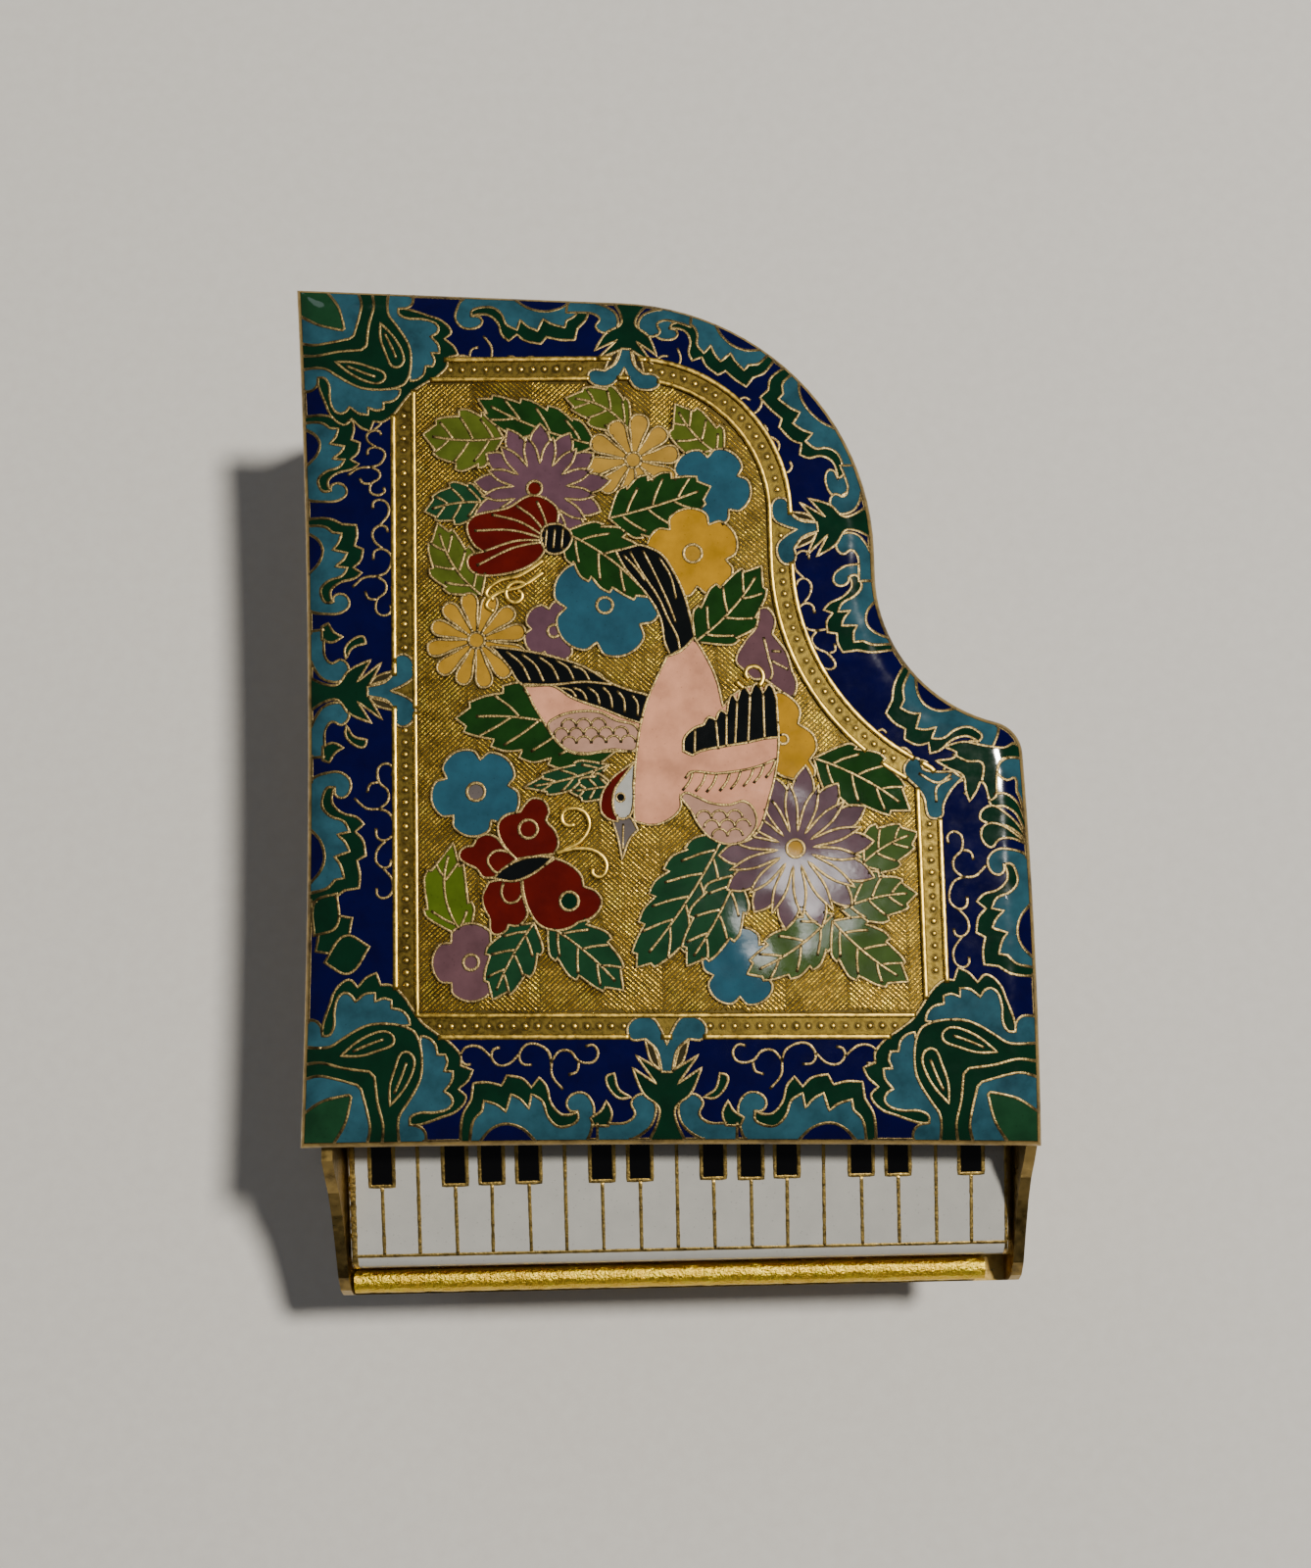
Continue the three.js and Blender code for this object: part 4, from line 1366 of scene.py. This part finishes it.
def stroke_places(ground, keep_out):
    """Places of the strokes in rows over the ground, and which way each leans."""
    row_pitch, pad_pitch, rows_to_a_lean = 0.25, 0.46, 22
    low, high = ground.min(0), ground.max(0)
    rows = int((high[0] - low[0]) / row_pitch)
    columns = int((high[1] - low[1]) / pad_pitch)
    row, column = np.meshgrid(np.arange(rows), np.arange(columns), indexing="ij")
    lean = np.where((row // rows_to_a_lean) % 2 == 0, 1.0, -1.0).ravel()
    x = low[0] + (row.ravel() + 0.5) * row_pitch
    y = low[1] + (column.ravel() + 0.5 * (row.ravel() % 2)) * pad_pitch
    flat = np.column_stack([x, y])
    clear = inside(ground, flat) & (distance_to(ground, flat) > 0.35)
    for polygon in keep_out:
        clear &= ~inside(polygon, flat)
    return zip(flat[clear], lean[clear])


def build_strokes(ground, keep_out):
    """Short slanted pads pressed into the gilt ground, with seams where the lean changes."""
    length, width, height, slant = 0.31, 0.19, 0.12, 43
    lowest = LID_TOP_Z - PANEL_SINK - 0.02
    heap = Heap()
    for (x, y), lean in stroke_places(ground, keep_out):
        angle = math.radians(lean * slant + chance.uniform(-4, 4))
        c, s = math.cos(angle), math.sin(angle)
        half = length / 2 * chance.uniform(0.88, 1.08)
        wide = width / 2 * chance.uniform(0.9, 1.1)
        top = height * chance.uniform(0.75, 1.1)
        corners = [(-half, -wide, 0), (half, -wide, 0), (half, wide, 0), (-half, wide, 0),
                   (-half * 0.75, 0, top), (half * 0.75, 0, top)]
        points = [(x + a * c - b * s, y + a * s + b * c, lowest + h) for a, b, h in corners]
        heap.add(points, [(3, 2, 1, 0), (0, 1, 5, 4), (2, 3, 4, 5), (1, 2, 5), (3, 0, 4)])
    heap.build("ground_strokes", gilt_strokes, replaces="lid", slot="gilt_ground", smooth_shading=False)


def lid_maker(colour, points, faces):
    metals = {"ground": ("enamel_ground", gilt_ground), "frame_band": ("frame_band", gilt_band)}
    name, material = metals.get(colour, ("lid_" + colour, None))
    slot = slot_of(colour) if material is None else "gilt_ground"
    material = material or enamel_of(colour)
    return make_object(name, points, faces, material, replaces="lid", slot=slot, smooth_shading="slab")


def build_lid():
    draw_border()
    draw_frame()
    ground_index = len(picture.areas) - 1
    draw_panel_back()
    draw_panel_front()
    draw_scrollwork()
    draw_butterflies()
    draw_bird()
    figures = [polygon for polygon, _ in picture.areas[ground_index + 1:]]
    first_over_frame = len(picture.areas)
    for start, tall, wide, leaves in PALMETTES:
        draw_palmette(picture, border.at(start, 1, tall, wide), leaves=leaves)
    draw_shoulder()
    draw_leaf_cluster()
    draw_corners()
    over_frame = [polygon for polygon, _ in picture.areas[first_over_frame:]]
    build_lid_body()
    picture.build_areas({"ground": -PANEL_SINK, "frame_band": -0.1}, lid_maker)
    picture.build_wires("lid_wires", gilt_wire, replaces="lid", slot="wire_gilt")
    picture.build_wires("frame_ridges", gilt_ridge, kind="ridge", replaces="lid", slot="gilt_ground")
    ground = picture.areas[ground_index][0]
    build_strokes(ground, figures + over_frame)
    build_beads(piano_outline(PANEL, -PANEL_FRAME / 2), 1.1, 0.29, over_frame)


build_lid()


# Keyboard plate, on a surface of x and distance t down the plate from its back edge

KEY_PROFILE = np.array([KEY_BACK, KEY_FRONT, (-43.6, 26.3), (-44.0, 25.8), (-44.2, 25.1), (-44.2, 24.0)])
KEY_STEPS = np.hypot(*np.diff(KEY_PROFILE, axis=0).T)
KEY_PLACES = np.r_[0, np.cumsum(KEY_STEPS)]
PLATE_LEFT = CASE_LEFT + WALL + SEAM
PLATE_RIGHT = CASE_RIGHT - WALL - 0.45


def key_place(y):
    """Distance down the plate to a point seen from above."""
    return (KEY_BACK[0] - y) / (KEY_BACK[0] - KEY_FRONT[0]) * KEY_STEPS[0]


def key_surface(flat, lift):
    y = np.interp(flat[:, 1], KEY_PLACES, KEY_PROFILE[:, 0])
    z = np.interp(flat[:, 1], KEY_PLACES, KEY_PROFILE[:, 1])
    ahead = 0.2
    slope_y = np.interp(flat[:, 1] + ahead, KEY_PLACES, KEY_PROFILE[:, 0]) - y
    slope_z = np.interp(flat[:, 1] + ahead, KEY_PLACES, KEY_PROFILE[:, 1]) - z
    size = np.maximum(np.hypot(slope_y, slope_z), 1e-6)
    return np.column_stack([flat[:, 0], y + slope_z / size * lift, z - slope_y / size * lift])


def rectangle(left, right, low, high):
    return [(left, low), (right, low), (right, high), (left, high)]


def bar_along_x(profile, left, right):
    """Closed solid of a side view, a list of (y, z), between two x values."""
    count = len(profile)
    points = [(x, y, z) for x in (left, right) for y, z in profile]
    faces = [tuple(range(count)), tuple(range(2 * count - 1, count - 1, -1))]
    faces += [(i, i + count, (i + 1) % count + count, (i + 1) % count) for i in range(count)]
    return points, faces


def key_maker(colour, points, faces):
    return make_object("keys_" + colour, points, faces, enamel_of("key_" + colour),
                       replaces="keyboard_plate", slot=slot_of(colour), smooth_shading="slab")


def draw_keys():
    """White keys between wires, with a black key over some of the joints."""
    first_joint, pitch, joints = -26.81, 3.45, 17
    with_black = (1, 3, 4, 5, 7, 8, 10, 11, 12, 14, 15, 17)
    black_half = 1.12
    black_front = key_place(-36.45)
    white_front = key_place(-42.95)
    lip_end = KEY_PLACES[4]
    plate = rectangle(PLATE_LEFT + 0.1, PLATE_RIGHT - 0.1, 0.15, lip_end)
    keys = Picture(plate, "white", key_surface, wire=0.36)
    for k in range(1, joints + 1):
        x = first_joint + pitch * (k - 1) + chance.uniform(-0.08, 0.08)
        start = black_front if k in with_black else 0.2
        keys.line([(x, start), (x + chance.uniform(-0.06, 0.06), white_front)])
        if k in with_black:
            end = black_front + chance.uniform(-0.06, 0.06)
            keys.area(rectangle(x - black_half, x + black_half, 0.2, end), "black", wire=0.38)
    keys.line([(PLATE_LEFT + 0.2, white_front), (PLATE_RIGHT - 0.2, white_front)], wire=0.34)
    for x, wide in ((PLATE_LEFT + 0.4, 0.6), (PLATE_RIGHT - 0.26, 0.3)):
        keys.line([(x, 0.2), (x, lip_end)], wire=wide)
    return keys


def build_key_plate():
    """Copper plate under the enamel, sunk a little below it."""
    drop, recess = SLAB - 0.1, 0.12
    top = [(y + (recess if i > 2 else 0), z - drop) for i, (y, z) in enumerate(KEY_PROFILE[:5])]
    bottom = [(y, z - PLATE_THICKNESS) for y, z in ((KEY_LIP[0] + recess, KEY_LIP[1]), KEY_FRONT, KEY_BACK)]
    points, faces = bar_along_x(top + bottom, PLATE_LEFT, PLATE_RIGHT)
    tidy_mesh(make_object("key_plate", points, faces, aged_brass, replaces="keyboard_plate",
                          slot="key_enamel", smooth_shading=False))


def build_keyboard():
    keys = draw_keys()
    keys.build_areas({}, key_maker, grid=0.7)
    keys.build_wires("key_wires", key_gilt, replaces="keyboard_plate", slot="wire_gilt")
    build_key_plate()


# Key slip: a cast bar, brushed and a little uneven

def softened(values):
    """Each value averaged with its four neighbours."""
    neighbours = [np.roll(values, shift, axis) for axis in (0, 1) for shift in (1, -1)]
    return (values + neighbours[0] + neighbours[1] + neighbours[2] + neighbours[3]) / 5


def build_slip():
    left, right = CASE_LEFT + WALL + SEAM, CASE_RIGHT - WALL - SLIP_SHORT
    bottom = LEG_HEIGHT + FLOOR + SEAM
    corners = [
        (SLIP_BACK_Y, bottom), (SLIP_BACK_Y, SLIP_TOP_Z - 0.35), (SLIP_BACK_Y - 0.35, SLIP_TOP_Z - 0.03),
        (SLIP_BACK_Y - 1.0, SLIP_TOP_Z - 0.04), (SLIP_FRONT_Y + 0.6, SLIP_TOP_Z - 0.3),
        (SLIP_FRONT_Y + 0.2, SLIP_TOP_Z - 0.8), (SLIP_FRONT_Y + 0.04, SLIP_TOP_Z - 1.6),
        (SLIP_FRONT_Y + 0.04, bottom),
    ]
    spacing, shallow, swing, deepest = 0.3, 0.03, 0.06, 0.09
    profile = subdivide(corners, spacing, True)
    stations = np.arange(left, right, spacing)
    rough = softened(softened(noise.standard_normal((len(stations), len(profile)))))
    inwards = profile.mean(0) - profile
    inwards /= np.hypot(*inwards.T)[:, None]
    rings = []
    for x, row in zip(stations, rough):
        dent = np.clip(shallow + row * swing, 0, deepest)
        ring = profile + inwards * dent[:, None]
        ring[:, 1] = np.maximum(ring[:, 1], bottom)
        rings.append(np.column_stack([np.full(len(ring), x), ring]))
    points, faces = loft(rings)
    slip = make_object("key_slip_bar", points, faces, slip_brass, replaces="key_slip", slot="gilt_brass")
    tidy_mesh(slip, 50)


# Case: enamel bands on the outer walls, framed by wires, with plain curls

def wall_surface(path, proud):
    """Surface of distance along a wall and height above the case's underside."""
    ahead = np.gradient(path, axis=0)
    ahead /= np.hypot(*ahead.T)[:, None]
    outwards = np.column_stack([-ahead[:, 1], ahead[:, 0]])
    places = np.r_[0, np.cumsum(np.hypot(*np.diff(path, axis=0).T))]

    def surface(flat, lift):
        spots = np.column_stack([np.interp(flat[:, 0], places, path[:, i]) for i in (0, 1)])
        away = np.column_stack([np.interp(flat[:, 0], places, outwards[:, i]) for i in (0, 1)])
        return np.column_stack([spots + away * (proud + lift)[:, None], flat[:, 1] + LEG_HEIGHT])
    return surface, places[-1]


def wall_paths():
    """The walls that carry enamel, each as a line of points seen from above."""
    outline = piano_outline(dict(CASE, front=CASE_FRONT_Y), CASE_INSET, 8)
    front_end = -32.6
    at_shoulder = (outline[:, 0] > CASE_RIGHT - 0.02) & (outline[:, 1] < 3.0)
    return {
        "left": resample([(CASE_LEFT, front_end), (CASE_LEFT, outline[0][1] - 0.4)], 0.5),
        "curved": resample(outline[:int(np.argmax(at_shoulder))], 0.5)[2:],
        "right": resample([(CASE_RIGHT, 1.6), (CASE_RIGHT, front_end)], 0.5),
    }


def draw_wall(band, length):
    """A stem with a flower, curls and two leaves, about once in every 25 mm."""
    usual = 25
    count = max(1, round(length / usual))
    stretch = length / count / usual
    for k in range(count):
        middle = length * (k + 0.5) / count
        for turn in (-1, 1):
            draw_lines(band, spot(middle, 1.8, (turn * stretch, 0), (0, 1.0)), TENDRIL)
            low = spot(middle, 13.6, (turn * stretch, 0), (0, -0.9))
            band.shape(SIDE_VOLUTE, "turquoise", low)
            base, tip = (middle + turn * 5.0 * stretch, 5.2), (middle + turn * 9.2 * stretch, 4.0)
            draw_leaf(band, base, tip, 2.4, "dark_green", teeth=2)
        band.shape(mirrored(TRUNK, opposite), "dark_green", spot(middle, 1.4, (0.8, 0), (0, 0.8)))
        draw_blunt_flower(band, middle, 8.4, 2.3, "turquoise", turn=18, centre="red")


def build_walls():
    for name, path in wall_paths().items():
        def maker(colour, points, faces):
            return make_object(f"wall_{name}_{colour}", points, faces, enamel_of(colour),
                               slot=slot_of(colour), smooth_shading="slab")

        surface, length = wall_surface(path, np.full(1, 0.1))
        band = Picture(rectangle(0.3, length - 0.3, 1.6, 13.8), "navy", surface, wire_base=True)
        draw_wall(band, length)
        band.build_areas({}, maker, grid=1.0)
        band.build_wires(f"wall_{name}_wires", gilt_wire, slot="wire_gilt")


# Turned legs: radius and height

LEG_PROFILE = [
    (1.35, 0), (1.75, 0.6), (1.75, 1.2), (1.3, 1.9), (0.95, 2.3), (1.0, 2.8), (1.45, 3.2), (1.45, 3.6),
    (1.05, 4.0), (1.3, 7.5), (1.9, 11.5), (2.25, 14.2), (2.1, 15.6), (1.4, 16.7), (1.4, 17.1),
    (2.3, 17.6), (2.3, 18.2), (2.9, 18.7), (2.9, LEG_HEIGHT - SEAM),
]


def build_leg(name, x, y):
    around = 40
    rings = [np.column_stack([ring_points(x, y, radius, around), np.full(around, z)])
             for radius, z in LEG_PROFILE]
    points, faces = loft(rings)
    leg = make_object(name + "_turned", points, faces, leg_brass, replaces=name, slot="leg_brass")
    tidy_mesh(leg, 40)


build_keyboard()
build_slip()
build_walls()
for leg_name, (leg_x, leg_y) in LEG_PLACES.items():
    build_leg(leg_name, leg_x, leg_y)

case_node = bpy.data.objects.get("case")
case_node.data.materials.clear()
case_node.data.materials.append(aged_brass)


# Camera, floor and lights

def build_camera():
    tilt, turn = math.radians(7.5), math.radians(1.28)
    place = Vector((-0.907 - CENTRE[0], -23.121 - CENTRE[1], 210.246)) * MM
    right = Vector((math.cos(turn), -math.sin(turn), 0))
    ahead = Vector((math.sin(tilt) * math.sin(turn), math.sin(tilt) * math.cos(turn), -math.cos(tilt)))
    up = right.cross(ahead)
    data = bpy.data.cameras.new("camera")
    data.lens = 43.99
    data.sensor_width = 36.0
    data.clip_start = 0.01
    made = bpy.data.objects.new("camera", data)
    bpy.context.scene.collection.objects.link(made)
    rows = [(right[i], up[i], -ahead[i], place[i]) for i in range(3)]
    made.matrix_world = Matrix((*rows, (0, 0, 0, 1)))
    bpy.context.scene.camera = made


def build_floor():
    mesh = bpy.data.meshes.new("floor")
    mesh.from_pydata([(x, y, 0) for x, y in rectangle(-1.5, 1.5, -1.5, 1.5)], [], [(0, 1, 2, 3)])
    made = bpy.data.objects.new("floor", mesh)
    paper, tree, shader, coordinates = new_material("paper")
    fibre = noise_texture(tree, coordinates, 1.5, 4.0)
    tone = ramp(tree, fibre, [(0.3, (0.8, 0.775, 0.735)), (0.7, (0.84, 0.82, 0.78))])
    tree.links.new(tone, shader.inputs["Base Color"])
    shader.inputs["Roughness"].default_value = 0.95
    mesh.materials.append(paper)
    bpy.context.scene.collection.objects.link(made)


def build_light(name, place, size, power, colour):
    data = bpy.data.lights.new(name, "AREA")
    data.shape = "DISK"
    data.size = size
    data.energy = power
    data.color = colour
    made = bpy.data.objects.new(name, data)
    made.location = Vector(place)
    aim = Vector((0, 0, 0.03)) - made.location
    made.rotation_euler = aim.to_track_quat("-Z", "Y").to_euler()
    bpy.context.scene.collection.objects.link(made)


def build_lights():
    """A main light from the right, a small bright one overhead, and weak fill from the room."""
    build_light("main", (0.36, 0.17, 0.98), 0.1, 11.0, (1.0, 0.955, 0.87))
    build_light("overhead", (0.0569, 0.0338, 0.62), 0.036, 0.05, (1.0, 0.98, 0.95))
    build_light("window", (-0.3, 0.62, 0.6), 0.3, 0.35, (0.82, 0.9, 1.0))
    world = bpy.data.worlds.new("world")
    world.use_nodes = True
    background = world.node_tree.nodes["Background"]
    background.inputs["Color"].default_value = (0.95, 0.96, 1.0, 1.0)
    background.inputs["Strength"].default_value = 0.07
    bpy.context.scene.world = world


build_camera()
build_floor()
build_lights()
